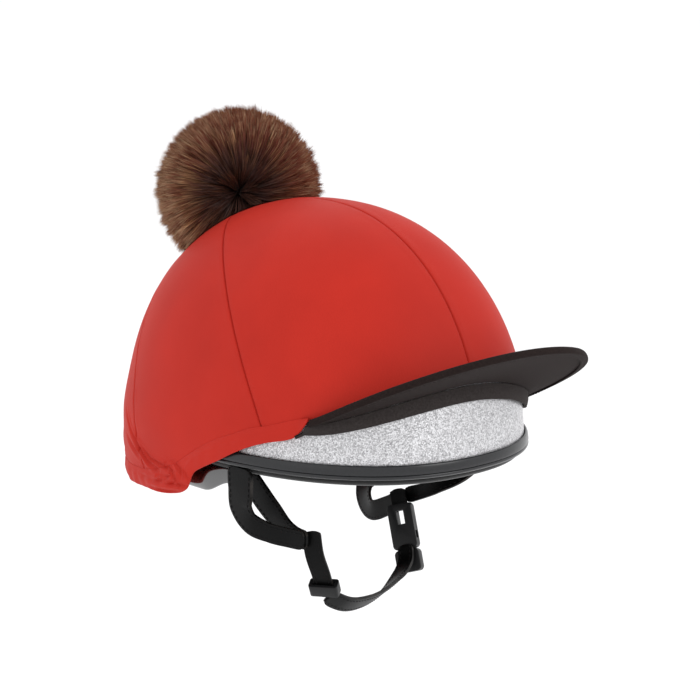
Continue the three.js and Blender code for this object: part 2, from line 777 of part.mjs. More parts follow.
seamTurns.slice(1).forEach((to, i) => {
  const from = seamTurns[i];
  const name = `cover_panel_${i + 1}`;
  add(name, from < 180 ? coverPanel(from, to) : coverPanel(from - 360, to - 360), "cover");
});

add("hem_casing", hemCasing(), "cover");
add("peak", peakBody(), "peak");
add("peak_binding", peakBinding(), "peak");
add("peak_band", peakBand(), "peak");
add("pompom", pompomBody(), "fur");
Object.entries(straps).forEach(([name, strap]) => add(name, strapBody(strap), "leather"));

add("nape_pad", napePad(), "leather");

const buckleAlong = buckleRun();
const buckleAcross = buckleAlong.clone().cross(new THREE.Vector3(...buckle.facing)).normalize();
const buckleFace = buckleAcross.clone().cross(buckleAlong);
const buckleGroup = placedGroup(socketPoint(buckle.socket), buckleAcross, buckleAlong, buckleFace);
add("buckle_socket", buckleSocket(), "plastic", buckleGroup);
add("buckle_tongue", buckleTongue(), "plastic", buckleGroup);

const keeperFrame = strapFrame(straps.right_side_strap, keeper.place);
const { middle, across, face } = keeperFrame;
const keeperGroup = placedGroup(middle, across, face, across.clone().cross(face));
add("strap_keeper", keeperLoop(), "plastic", keeperGroup);

export default cap;
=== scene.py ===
# %% [markdown]
# # A jockey's riding cap
# The real thing is a hard skull cap with a stretch cover pulled over it, a soft peak, a fur
# pompom and a chin harness. Its solids come in as a fixed frame, in metres: the peak points
# to -Y, the wearer's right is -X and +Z is up. Every piece below is laid onto that frame.

# %% Load the frame
import math

import bpy
import numpy as np
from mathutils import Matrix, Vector


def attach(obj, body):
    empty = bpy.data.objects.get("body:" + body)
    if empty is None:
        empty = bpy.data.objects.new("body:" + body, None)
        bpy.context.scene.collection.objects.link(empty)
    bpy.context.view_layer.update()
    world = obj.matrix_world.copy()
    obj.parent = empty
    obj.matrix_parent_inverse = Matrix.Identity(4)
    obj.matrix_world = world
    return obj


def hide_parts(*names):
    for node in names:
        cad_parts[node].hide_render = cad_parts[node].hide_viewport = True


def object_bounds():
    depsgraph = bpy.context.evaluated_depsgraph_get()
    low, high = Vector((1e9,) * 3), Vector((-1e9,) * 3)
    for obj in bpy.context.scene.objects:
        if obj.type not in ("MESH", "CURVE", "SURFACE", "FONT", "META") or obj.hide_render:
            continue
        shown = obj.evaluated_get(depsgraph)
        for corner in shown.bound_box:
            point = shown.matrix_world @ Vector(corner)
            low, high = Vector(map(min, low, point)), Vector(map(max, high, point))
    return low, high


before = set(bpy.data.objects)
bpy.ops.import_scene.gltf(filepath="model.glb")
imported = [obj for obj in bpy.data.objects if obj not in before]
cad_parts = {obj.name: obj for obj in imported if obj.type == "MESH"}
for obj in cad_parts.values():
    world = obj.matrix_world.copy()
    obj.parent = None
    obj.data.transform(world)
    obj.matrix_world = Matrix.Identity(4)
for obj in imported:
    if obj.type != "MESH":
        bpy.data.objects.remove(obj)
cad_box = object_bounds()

MM = 0.001
print("CAD box in metres:", [[round(v, 4) for v in corner] for corner in cad_box])

# %% [markdown]
# The camera comes first, because each piece is judged from it. A long lens a good way off
# gives the calm perspective of a product picture. The cap sits a little off the middle of the
# picture, which the lens shift takes up, so that the view direction itself stays true. The
# standard view shows each colour as it is, where the default one would pale the reds.

# %% Camera
PICTURE = 700
SENSOR = 36
view_turn = math.radians(-42)
view_rise = math.radians(11.2)
view_distance = 1300
view_scale = 1.584
view_target = Vector((0, 0, 60))
target_pixel = (322.5, 338.4)

to_camera = Vector((
    math.sin(view_turn) * math.cos(view_rise),
    -math.cos(view_turn) * math.cos(view_rise),
    math.sin(view_rise),
))
camera_data = bpy.data.cameras.new("photo_camera")
camera_data.sensor_width = SENSOR
camera_data.lens = SENSOR * view_scale * view_distance / PICTURE
camera_data.shift_x = 0.5 - target_pixel[0] / PICTURE
camera_data.shift_y = target_pixel[1] / PICTURE - 0.5
camera = bpy.data.objects.new("photo_camera", camera_data)
camera.location = (view_target + to_camera * view_distance) * MM
camera.rotation_mode = "QUATERNION"
camera.rotation_quaternion = (-to_camera).to_track_quat("-Z", "Y")
bpy.context.scene.collection.objects.link(camera)
bpy.context.scene.camera = camera
bpy.context.scene.view_settings.view_transform = "Standard"
print(f"lens {camera_data.lens:.1f} mm")

# %% [markdown]
# Colours are picked as sRGB hex values, as a maker would read them off a swatch, and one
# function turns them to the linear values that the shader wants. A second small function adds
# one node with its settings and its links, so that a material reads as a list of its nodes.
# Every pattern starts from a size in millimetres, which per_mm turns to a texture's scale.

# %% Colour and node helpers
WAVE_BANDS = 20 / (2 * math.pi)  # the bands of a wave texture to one unit, at scale 1


def linear(hex_code):
    parts = [int(hex_code[i:i + 2], 16) / 255 for i in (1, 3, 5)]
    return [*(p / 12.92 if p <= 0.04045 else ((p + 0.055) / 1.055) ** 2.4 for p in parts), 1]


def per_mm(size):
    return 1 / (size * MM)


def new_material(name):
    material = bpy.data.materials.new(name)
    material.use_nodes = True
    material.node_tree.nodes.clear()
    print("material:", name)
    return material, material.node_tree


def add_node(tree, kind, inputs=None, stops=(), **settings):
    """Adds a node with its settings, a ramp's colour stops, and its values and links."""
    made = tree.nodes.new(kind)
    for name, value in settings.items():
        setattr(made, name, value)
    if stops:
        points = made.color_ramp.elements
        while len(points) < len(stops):
            points.new(0.5)
        for point, (place, hex_code) in zip(points, stops):
            point.position = place
            point.color = linear(hex_code)
    for name, value in (inputs or {}).items():
        if isinstance(value, bpy.types.NodeSocket):
            tree.links.new(value, made.inputs[name])
        else:
            made.inputs[name].default_value = value
    return made


print("middle grey in linear values:", [round(v, 3) for v in linear("#808080")])

# %% [markdown]
# The skull cap has a lacquer full of silver flakes. Each flake lies at its own small tilt, so
# some flash white and others look grey. A cell pattern gives each flake one random colour,
# which leans its normal, and one random value, which sets its base colour from grey to near
# white: a painted glint on random flakes. Real flakes are about 0.3 mm across. They are drawn
# at 0.6 mm, the smallest that a picture of this size can show.

# %% Glitter lacquer
FLAKE_SIZE, FLAKE_LEAN = 0.6, 0.35

glitter_lacquer, tree = new_material("silver_glitter_lacquer")
place = add_node(tree, "ShaderNodeTexCoord").outputs["Object"]
flakes = add_node(
    tree, "ShaderNodeTexVoronoi", {"Vector": place, "Scale": per_mm(FLAKE_SIZE)},
)
tone = add_node(tree, "ShaderNodeSeparateColor", {"Color": flakes.outputs["Color"]})
# Each flake's grey to near-white base colour is a painted glint.
silver = add_node(
    tree, "ShaderNodeValToRGB", {"Fac": tone.outputs["Red"]},
    stops=[(0, "#929294"), (0.45, "#bfbec0"), (1, "#ececee")],
)
lean = add_node(
    tree, "ShaderNodeVectorMath",
    {0: flakes.outputs["Color"], 1: (0.5, 0.5, 0.5)}, operation="SUBTRACT",
)
small_lean = add_node(
    tree, "ShaderNodeVectorMath", {0: lean.outputs[0], "Scale": FLAKE_LEAN}, operation="SCALE",
)
face = add_node(tree, "ShaderNodeNewGeometry").outputs["Normal"]
leaning = add_node(
    tree, "ShaderNodeVectorMath", {0: face, 1: small_lean.outputs[0]}, operation="ADD",
)
unit = add_node(tree, "ShaderNodeVectorMath", {0: leaning.outputs[0]}, operation="NORMALIZE")
lacquer = add_node(tree, "ShaderNodeBsdfPrincipled", {
    "Base Color": silver.outputs["Color"],
    "Metallic": 0.55,
    "Roughness": 0.4,
    "Normal": unit.outputs[0],
    "Coat Weight": 0.25,
    "Coat Roughness": 0.12,
})
add_node(tree, "ShaderNodeOutputMaterial", {"Surface": lacquer.outputs["BSDF"]})

# %% [markdown]
# The channel on the shell's edge is extruded rubber. It is nearly black and glossy, so what
# the eye sees is mostly the reflection of the room, broken by the faint waviness of a long
# extrusion. Waves about 14 mm long do that, and its finer mottle is drawn at 1.2 mm.

# %% Extruded rubber
extruded_rubber, tree = new_material("glossy_extruded_rubber")
place = add_node(tree, "ShaderNodeTexCoord").outputs["Object"]
waviness = add_node(
    tree, "ShaderNodeTexNoise", {"Vector": place, "Scale": per_mm(14), "Detail": 2.0},
)
relief = add_node(
    tree, "ShaderNodeBump",
    {"Height": waviness.outputs["Fac"], "Distance": 0.5 * MM, "Strength": 0.35},
)
mottle = add_node(
    tree, "ShaderNodeTexNoise", {"Vector": place, "Scale": per_mm(1.2), "Detail": 3.0},
)
blacks = add_node(
    tree, "ShaderNodeValToRGB", {"Fac": mottle.outputs["Fac"]},
    stops=[(0.35, "#141517"), (0.7, "#1d1e21")],
)
rubber = add_node(tree, "ShaderNodeBsdfPrincipled", {
    "Base Color": blacks.outputs["Color"],
    "Roughness": 0.3,
    "Specular IOR Level": 0.35,
    "Normal": relief.outputs["Normal"],
    "Coat Weight": 0.3,
    "Coat Roughness": 0.15,
})
add_node(tree, "ShaderNodeOutputMaterial", {"Surface": rubber.outputs["BSDF"]})

# %% [markdown]
# The padding is foam under a brushed black lining cloth. It takes up light and shows only a
# soft, matt nap, so it is rough all over with a fine uneven bump. The nap's single fibres are
# far too fine to show, so it is drawn as tufts 0.9 mm across. Plastic and thread get the same
# recipe further down: one fine noise gives both the tone and the relief.

# %% Brushed lining
def grained_material(name, grain_size, detail, dark, light, depth, strength, surface):
    material, tree = new_material(name)
    place = add_node(tree, "ShaderNodeTexCoord").outputs["Object"]
    grain = add_node(
        tree, "ShaderNodeTexNoise",
        {"Vector": place, "Scale": per_mm(grain_size), "Detail": detail},
    )
    tones = add_node(
        tree, "ShaderNodeValToRGB", {"Fac": grain.outputs["Fac"]},
        stops=[(0.3, dark), (0.7, light)],
    )
    relief = add_node(
        tree, "ShaderNodeBump",
        {"Height": grain.outputs["Fac"], "Distance": depth * MM, "Strength": strength},
    )
    finish = add_node(tree, "ShaderNodeBsdfPrincipled", {
        "Base Color": tones.outputs["Color"], "Normal": relief.outputs["Normal"], **surface,
    })
    add_node(tree, "ShaderNodeOutputMaterial", {"Surface": finish.outputs["BSDF"]})
    return material


brushed_lining = grained_material(
    "brushed_black_lining", 0.9, 4.0, "#0d0d0d", "#1b1b1b", 0.25, 0.6,
    {"Roughness": 0.85, "Sheen Weight": 0.25, "Sheen Roughness": 0.5},
)

# %% [markdown]
# The cover is stretch jersey, a knit of fine elastic yarn. Its loops stand in columns about
# 0.35 mm apart, too fine for this picture, so the columns are drawn 0.9 mm apart and very
# shallow. The dye is slightly uneven where the cloth is stretched, and the yarn has a soft
# sheen along the edges of the form.

# %% Stretch jersey
COLUMN_SPACING = 0.9

stretch_jersey, tree = new_material("red_stretch_jersey")
place = add_node(tree, "ShaderNodeTexCoord").outputs["Object"]
on_cloth = add_node(tree, "ShaderNodeTexCoord").outputs["UV"]
dye = add_node(
    tree, "ShaderNodeTexNoise", {"Vector": place, "Scale": per_mm(45), "Detail": 3.0},
)
reds = add_node(
    tree, "ShaderNodeValToRGB", {"Fac": dye.outputs["Fac"]},
    stops=[(0.3, "#b2271c"), (0.7, "#bb2a1e")],
)
loops = add_node(tree, "ShaderNodeTexWave", {
    "Vector": on_cloth,
    "Scale": per_mm(COLUMN_SPACING * WAVE_BANDS),
    "Distortion": 1.5,
    "Detail": 1.0,
    "Detail Scale": 2.0,
})
yarn = add_node(
    tree, "ShaderNodeTexNoise", {"Vector": place, "Scale": per_mm(0.8), "Detail": 2.0},
)
knit = add_node(
    tree, "ShaderNodeMath", {0: loops.outputs["Fac"], 1: yarn.outputs["Fac"]}, operation="ADD",
)
relief = add_node(
    tree, "ShaderNodeBump", {"Height": knit.outputs[0], "Distance": 0.05 * MM, "Strength": 0.5},
)
jersey = add_node(tree, "ShaderNodeBsdfPrincipled", {
    "Base Color": reds.outputs["Color"],
    "Roughness": 0.6,
    "Specular IOR Level": 0.12,
    "Sheen Weight": 0.03,
    "Sheen Roughness": 0.35,
    "Sheen Tint": linear("#e8a79c"),
    "Normal": relief.outputs["Normal"],
})
add_node(tree, "ShaderNodeOutputMaterial", {"Surface": jersey.outputs["BSDF"]})

# %% [markdown]
# The peak and its binding are a dense matt cloth in a warm near-black. Its twill lines run
# slantwise, about 0.6 mm apart, drawn here at 1.2 mm. Turning the cloth's own coordinates by
# 45 degrees gives the slant. The band is a woven elastic, a little paler, whose ribs run
# along it, so the same recipe serves with a turn of 90 degrees.

# %% Matt cloths
LINE_SPACING = 1.2


def cloth_material(name, turn, dark, light):
    material, tree = new_material(name)
    on_cloth = add_node(tree, "ShaderNodeTexCoord").outputs["UV"]
    slant = add_node(
        tree, "ShaderNodeMapping", {"Vector": on_cloth, "Rotation": (0, 0, math.radians(turn))},
    )
    lines = add_node(tree, "ShaderNodeTexWave", {
        "Vector": slant.outputs["Vector"],
        "Scale": per_mm(LINE_SPACING * WAVE_BANDS),
        "Distortion": 0.8,
    })
    place = add_node(tree, "ShaderNodeTexCoord").outputs["Object"]
    fibre = add_node(
        tree, "ShaderNodeTexNoise", {"Vector": place, "Scale": per_mm(1.1), "Detail": 3.0},
    )
    tones = add_node(
        tree, "ShaderNodeValToRGB", {"Fac": fibre.outputs["Fac"]},
        stops=[(0.3, dark), (0.7, light)],
    )
    weave = add_node(
        tree, "ShaderNodeMath", {0: lines.outputs["Fac"], 1: fibre.outputs["Fac"]},
        operation="ADD",
    )
    relief = add_node(
        tree, "ShaderNodeBump",
        {"Height": weave.outputs[0], "Distance": 0.09 * MM, "Strength": 0.5},
    )
    cloth = add_node(tree, "ShaderNodeBsdfPrincipled", {
        "Base Color": tones.outputs["Color"],
        "Roughness": 0.85,
        "Specular IOR Level": 0.08,
        "Sheen Weight": 0.02,
        "Sheen Roughness": 0.5,
        "Normal": relief.outputs["Normal"],
    })
    add_node(tree, "ShaderNodeOutputMaterial", {"Surface": cloth.outputs["BSDF"]})
    return material


matt_twill = cloth_material("charcoal_twill", 45, "#1c1413", "#271e1c")
woven_elastic = cloth_material("charcoal_woven_elastic", 90, "#2d2827", "#3a3534")

# %% [markdown]
# The harness is black bridle leather with a satin dressing. Its grain is small pebbles about
# 0.9 mm across. Along a strap's cut edges the colour is painted a little paler, broken up by a
# slow noise: a painted highlight, such as a rounded edge catches. The "edge" value says how
# near an edge of the strap a point is. The nape pad is patent leather, the same hide under a
# thick clear lacquer.

# %% Leathers
PEBBLE_SIZE, RUB_SIZE, LACQUER_IOR = 0.9, 9, 1.75
LEATHER_AND_EDGE_HIGHLIGHT_TONES = [(0.1, "#050505"), (0.42, "#0a0909"), (0.75, "#34302d")]


def leather_material(name, smooth, dull, shine, pebble_depth, lacquer=0.0):
    material, tree = new_material(name)
    place = add_node(tree, "ShaderNodeTexCoord").outputs["Object"]
    pebbles = add_node(
        tree, "ShaderNodeTexVoronoi", {"Vector": place, "Scale": per_mm(PEBBLE_SIZE)},
        feature="SMOOTH_F1",
    )
    relief = add_node(
        tree, "ShaderNodeBump",
        {"Height": pebbles.outputs["Distance"], "Distance": pebble_depth * MM, "Strength": 0.5},
    )
    rub = add_node(
        tree, "ShaderNodeTexNoise", {"Vector": place, "Scale": per_mm(RUB_SIZE), "Detail": 4.0},
    )
    # Paler towards a strap's edges, mottled by the rub noise: a painted highlight along the edge.
    edge_highlight_mask = add_node(tree, "ShaderNodeAttribute", attribute_name="edge")
    painted_edge_highlight = add_node(
        tree, "ShaderNodeMath", {0: edge_highlight_mask.outputs["Fac"], 1: rub.outputs["Fac"]},
        operation="MULTIPLY",
    )
    tones = add_node(
        tree, "ShaderNodeValToRGB", {"Fac": painted_edge_highlight.outputs[0]}, stops=LEATHER_AND_EDGE_HIGHLIGHT_TONES,
    )
    roughness = add_node(
        tree, "ShaderNodeMapRange", {"Value": rub.outputs["Fac"], "To Min": smooth, "To Max": dull},
    )
    leather = add_node(tree, "ShaderNodeBsdfPrincipled", {
        "Base Color": tones.outputs["Color"],
        "Roughness": roughness.outputs["Result"],
        "Specular IOR Level": shine,
        "Normal": relief.outputs["Normal"],
        "Coat Weight": lacquer,
        "Coat Roughness": 0.06,
        "Coat IOR": LACQUER_IOR,
    })
    add_node(tree, "ShaderNodeOutputMaterial", {"Surface": leather.outputs["BSDF"]})
    return material


bridle_leather = leather_material("black_bridle_leather", 0.34, 0.5, 0.12, 0.12)
patent_leather = leather_material("black_patent_leather", 0.14, 0.24, 0.8, 0.03, lacquer=1.0)

# %% [markdown]
# Buckle and keeper are moulded acetal, a hard black plastic with a fine spark-eroded grain.
# The real grain is well under 0.1 mm, so it is drawn at 0.6 mm and very shallow.

# %% Moulded plastic
moulded_acetal = grained_material(
    "black_moulded_acetal", 0.6, 2.0, "#0b0b0c", "#131314", 0.06, 0.5,
    {"Roughness": 0.42, "Specular IOR Level": 0.3},
)

# %% [markdown]
# Sewing thread is twisted polyester, dyed to match what it sews, so it shows by its relief.
# Its strands cross about every half millimetre.

# %% Sewing thread
THREAD_SURFACE = {"Roughness": 0.6, "Specular IOR Level": 0.15}

black_thread = grained_material(
    "black_polyester_thread", 0.5, 1.0, "#0a0909", "#121111", 0.05, 0.5, THREAD_SURFACE,
)
charcoal_thread = grained_material(
    "charcoal_polyester_thread", 0.5, 1.0, "#1f1917", "#2b2422", 0.05, 0.5, THREAD_SURFACE,
)

# %% [markdown]
# Each hair of the pompom is dark at its root and paler at its tip, as dyed pile is. A hair's
# own two coordinates carry this: one runs from root to tip, and the other is how light that
# hair is. A ramp for dark hairs and one for light hairs are mixed by it. A Mix node has a set
# of sockets for each kind of value, and those for colours are 6 and 7 in and 2 out.

# %% Dyed pile
COLOUR_A, COLOUR_B, COLOUR_OUT = 6, 7, 2

dyed_pile, tree = new_material("brown_dyed_pile")
hair = add_node(tree, "ShaderNodeTexCoord").outputs["UV"]
parts = add_node(tree, "ShaderNodeSeparateXYZ", {"Vector": hair})
dark_hair = add_node(
    tree, "ShaderNodeValToRGB", {"Fac": parts.outputs["Y"]},
    stops=[(0, "#0f0503"), (0.4, "#32140b"), (0.8, "#642b19"), (1, "#875236")],
)
light_hair = add_node(
    tree, "ShaderNodeValToRGB", {"Fac": parts.outputs["Y"]},
    stops=[(0, "#150805"), (0.35, "#4f2d19"), (0.7, "#a07750"), (1, "#dcbd97")],
)
mixed = add_node(tree, "ShaderNodeMix", {
    0: parts.outputs["X"],
    COLOUR_A: dark_hair.outputs["Color"],
    COLOUR_B: light_hair.outputs["Color"],
}, data_type="RGBA")
pile = add_node(tree, "ShaderNodeBsdfPrincipled", {
    "Base Color": mixed.outputs[COLOUR_OUT],
    "Roughness": 0.5,
    "Specular IOR Level": 0.25,
    "Sheen Weight": 0.03,
})
add_node(tree, "ShaderNodeOutputMaterial", {"Surface": pile.outputs["BSDF"]})

# %% [markdown]
# The pile grows from a dark knitted backing. Between the hairs it is only ever seen in deep
# shade, so its colour is a painted shade, a dull brown that is nearly black, with the cells of
# a knit, 1.5 mm across.

# %% Pile backing
pile_backing, tree = new_material("painted_shade_knitted_backing")
place = add_node(tree, "ShaderNodeTexCoord").outputs["Object"]
cells = add_node(tree, "ShaderNodeTexVoronoi", {"Vector": place, "Scale": per_mm(1.5)})
relief = add_node(
    tree, "ShaderNodeBump",
    {"Height": cells.outputs["Distance"], "Distance": 0.4 * MM, "Strength": 0.6},
)
# A painted shade: the backing is drawn nearly black.
painted_shade_browns = add_node(
    tree, "ShaderNodeValToRGB", {"Fac": cells.outputs["Distance"]},
    stops=[(0.1, "#120906"), (0.6, "#080302")],
)
backing = add_node(tree, "ShaderNodeBsdfPrincipled", {
    "Base Color": painted_shade_browns.outputs["Color"],
    "Roughness": 1.0,
    "Specular IOR Level": 0.0,
    "Normal": relief.outputs["Normal"],
})
add_node(tree, "ShaderNodeOutputMaterial", {"Surface": backing.outputs["BSDF"]})

# %% [markdown]
# ## The form of the shell
# Shell, trim, padding and cover all follow one rounded dome. From above it is an oval that is
# a little squarer than an ellipse, and from the side it rises the same way to the crown. These
# few functions give a point of the dome and its outward normal, for whole arrays at a time.

# %% The dome
HALF_LENGTH, HALF_WIDTH, DOME_HEIGHT = 138, 104, 147
PLAN_ROUND, SIDE_ROUND = 2.28, 2.15
TINY = 1e-9


def outward_at(azimuth):
    turn = np.radians(azimuth)
    return np.stack([-np.sin(turn), -np.cos(turn), np.zeros_like(turn)], -1)


def in_plan(point):
    """How far out in the oval a point lies: 1 on the oval itself, raised by its own power."""
    across, ahead = abs(point[..., 0]) / HALF_WIDTH, abs(point[..., 1]) / HALF_LENGTH
    return across ** PLAN_ROUND + ahead ** PLAN_ROUND


def dome_point(azimuth, height):
    azimuth, height = np.broadcast_arrays(np.asarray(azimuth, float), np.asarray(height, float))
    way = outward_at(azimuth)
    rise = np.clip(height / DOME_HEIGHT, 0, 1)
    radius = (1 - rise ** SIDE_ROUND) ** (1 / SIDE_ROUND) / in_plan(way) ** (1 / PLAN_ROUND)
    point = way * radius[..., None]
    point[..., 2] = height
    return point


def dome_normal(point):
    across = abs(point[..., 0]) / HALF_WIDTH
    ahead = abs(point[..., 1]) / HALF_LENGTH
    scale = np.maximum(in_plan(point), TINY) ** (SIDE_ROUND / PLAN_ROUND - 1)
    rise = np.clip(point[..., 2] / DOME_HEIGHT, 0, None) ** (SIDE_ROUND - 1) / DOME_HEIGHT
    normal = np.stack([
        scale * np.sign(point[..., 0]) * across ** (PLAN_ROUND - 1) / HALF_WIDTH,
        scale * np.sign(point[..., 1]) * ahead ** (PLAN_ROUND - 1) / HALF_LENGTH,
        rise,
    ], -1)
    return normal / np.linalg.norm(normal, axis=-1, keepdims=True)


def on_dome(azimuth, height, off):
    """Points that stand off the dome by so many millimetres, along its normal."""
    point = dome_point(azimuth, height)
    return point + dome_normal(point) * np.asarray(off, float)[..., None]


def dome_along(way):
    """Where a line from the origin, going a given way, meets the dome."""
    rise = np.clip(way[..., 2] / DOME_HEIGHT, 0, None)
    level = in_plan(way) ** (SIDE_ROUND / PLAN_ROUND) + rise ** SIDE_ROUND
    return way * (level ** (-1 / SIDE_ROUND))[..., None]


print("dome crown", on_dome(0, DOME_HEIGHT, 0).round(1))

# %% [markdown]
# ## Laying a grid onto a form
# Most pieces are sheets or closed sweeps. Each starts as a grid primitive whose two
# coordinates, both from 0 to 1, are turned into a place on the form. Edit mode then merges
# the vertices that meet, so that rings and poles close, and the faces are turned outwards.
# The grid's own coordinates become cloth coordinates in metres, for weave, and a value that
# rises towards the grid's side edges, for the painted highlight along a strap's edges.

# %% Grid helper
MERGE_WITHIN, EDGE_HIGHLIGHT_POWER = 0.01, 8
BEVEL_STEPS, CUT_EDGE_ANGLE = 3, 50
HARD_ANGLE, SOFT_ANGLE = 40, 60


def select_only(piece):
    bpy.ops.object.select_all(action="DESELECT")
    bpy.context.view_layer.objects.active = piece
    piece.select_set(True)


def lay(name, columns, rows, place, closed=False, about=(0, 0, 30)):
    """A grid laid by place(u, v), in millimetres. An open one faces away from about."""
    bpy.ops.object.select_all(action="DESELECT")
    bpy.ops.mesh.primitive_grid_add(x_subdivisions=columns, y_subdivisions=rows, size=2)
    piece = bpy.context.active_object
    piece.name = piece.data.name = name
    mesh = piece.data
    flat = np.empty(len(mesh.vertices) * 3)
    mesh.vertices.foreach_get("co", flat)
    share = (flat.reshape(-1, 3)[:, :2] + 1) / 2
    points = place(share[:, 0], share[:, 1]) * MM
    mesh.vertices.foreach_set("co", points.ravel())
    order = np.lexsort((share[:, 0].round(5), share[:, 1].round(5)))
    table = points[order].reshape(rows + 1, columns + 1, 3)
    size = []
    for axis in (1, 0):
        steps = np.linalg.norm(np.diff(table, axis=axis), axis=2)
        size.append(float(steps.sum(axis).max()))
    corner = np.empty(len(mesh.loops), int)
    mesh.loops.foreach_get("vertex_index", corner)
    mesh.uv_layers.active.uv.foreach_set("vector", (share[corner] * size).ravel())
    # A value that rises near the grid's side edges; the leathers paint a highlight with it.
    edge = mesh.attributes.new("edge", "FLOAT", "POINT")
    edge.data.foreach_set("value", abs(2 * share[:, 0] - 1) ** EDGE_HIGHLIGHT_POWER)
    bpy.ops.object.mode_set(mode="EDIT")
    bpy.ops.mesh.select_all(action="SELECT")
    bpy.ops.mesh.remove_doubles(threshold=MERGE_WITHIN * MM)
    if closed:
        bpy.ops.mesh.select_all(action="DESELECT")
        bpy.ops.mesh.select_non_manifold()
        bpy.ops.mesh.fill_holes(sides=0)
        bpy.ops.mesh.select_all(action="SELECT")
        bpy.ops.mesh.normals_make_consistent(inside=False)
    bpy.ops.object.mode_set(mode="OBJECT")
    if not closed:
        centres = np.array([face.center for face in mesh.polygons])
        normals = np.array([face.normal * face.area for face in mesh.polygons])
        if ((centres - np.array(about) * MM) * normals).sum() < 0:
            mesh.flip_normals()
    return piece, size


def apply_modifier(piece, kind, **settings):
    select_only(piece)
    modifier = piece.modifiers.new(kind.lower(), kind)
    for name, value in settings.items():
        setattr(modifier, name, value)
    bpy.ops.object.modifier_apply(modifier=modifier.name)


def thicken(piece, wall, rounding=0.0):
    """Gives a sheet its wall, inwards from the laid face, and rounds its cut edges."""
    apply_modifier(piece, "SOLIDIFY", thickness=wall * MM, offset=-1, use_even_offset=True)
    if rounding:
        apply_modifier(
            piece, "BEVEL", width=rounding * MM, segments=BEVEL_STEPS, limit_method="ANGLE",
            angle_limit=math.radians(CUT_EDGE_ANGLE),
        )


def dress(piece, material, slot, *nodes, angle=HARD_ANGLE):
    """Shades, paints and seats a finished piece, in place of its CAD nodes."""
    select_only(piece)
    bpy.ops.object.shade_smooth_by_angle(angle=math.radians(angle))
    piece.data.materials.clear()
    piece.data.materials.append(material)
    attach(piece, "root")
    if nodes:
        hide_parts(*nodes)
    print(f"{piece.name}: {len(piece.data.polygons)} faces")

# %% [markdown]
# The shell, the rubber channel and the padding are one profile each, carried round the dome.
# Spin would give a round form, and this plan is an oval, so a grid is laid along the profile
# instead. A profile is a short table of how far each corner stands off the dome and at what
# height. The shell's is simple: down the outside, in by its wall, and up the inside.

# %% Skull cap
def sweep_round(name, offs, heights, columns):
    offs, heights = np.array(offs, float), np.array(heights, float)
    rows = len(offs) - 1

    def place(u, v):
        at = np.rint(v * rows).astype(int)
        return on_dome(u * 360, heights[at], offs[at])

    return lay(name, columns, rows, place, closed=True)[0]


def rounded(profile, cuts, closed):
    """A smooth line through a profile's corners, by a spline with cuts steps a corner."""
    corners = np.array(profile, float)
    t = (np.arange(cuts) / cuts)[None, :, None]
    a, b, c, d = (np.roll(corners, shift, 0)[:, None, :] for shift in (1, 0, -1, -2))
    line = 0.5 * (2 * b + (c - a) * t + (2 * a - 5 * b + 4 * c - d) * t ** 2
                  + (3 * b - a - 3 * c + d) * t ** 3)
    line = line.reshape(-1, 2)
    return np.vstack([line, line[:1]]) if closed else line[:(len(corners) - 1) * cuts + 1]


def crown_heights(foot, count):
    return DOME_HEIGHT * np.sin(np.linspace(math.pi / 2, math.asin(foot / DOME_HEIGHT), count))


SHELL_FACE, SHELL_WALL, SHELL_EDGE = -0.8, 4, 5.6
SHELL_ROWS, SHELL_COLUMNS = 40, 160
outer = crown_heights(SHELL_EDGE, SHELL_ROWS)
skull = sweep_round(
    "skull_cap_shell",
    [SHELL_FACE] * SHELL_ROWS + [SHELL_FACE - SHELL_WALL] * SHELL_ROWS,
    [*outer, *outer[::-1]],
    SHELL_COLUMNS,
)
dress(skull, glitter_lacquer, "shell", "skull_shell")

# %% [markdown]
# The channel grips the shell's edge with two legs. Its outer leg has a groove above a round
# bead, which gives the dark double line along the rim. A spline through the corners of the
# profile rounds them, as a rubber die does.

# %% Rubber channel
TRIM_PROFILE = [
    (-0.35, 9.2), (-0.2, 10.3), (0.5, 10.7), (1.2, 10.2), (1.6, 9), (1.85, 7.4), (1.95, 5.9),
    (1.8, 5.0), (1.25, 4.7), (1.7, 4.3), (1.95, 3.5), (1.5, 2.6), (0.4, 2.0), (-1.6, 1.9),
    (-4.6, 1.95), (-6.6, 2.3), (-7.25, 3.4), (-7.3, 6.0), (-7.2, 8.4), (-6.7, 9.3), (-5.9, 9.3),
    (-5.3, 8.4), (-5.25, 6.4), (-5.1, 5.15), (-2.6, 5.1), (-0.45, 5.2), (-0.35, 6.4),
]
PROFILE_CUTS = 3
trim_line = rounded(TRIM_PROFILE, PROFILE_CUTS, True)
trim = sweep_round("rubber_edge_channel", trim_line[:, 0], trim_line[:, 1], SHELL_COLUMNS)
dress(trim, extruded_rubber, "rubber", "edge_trim", angle=SOFT_ANGLE)

# %% [markdown]
# The padding lines the shell to the crown. At the foot it rolls outwards under the channel,
# so its lip is the lowest dark line that shows along the rim.

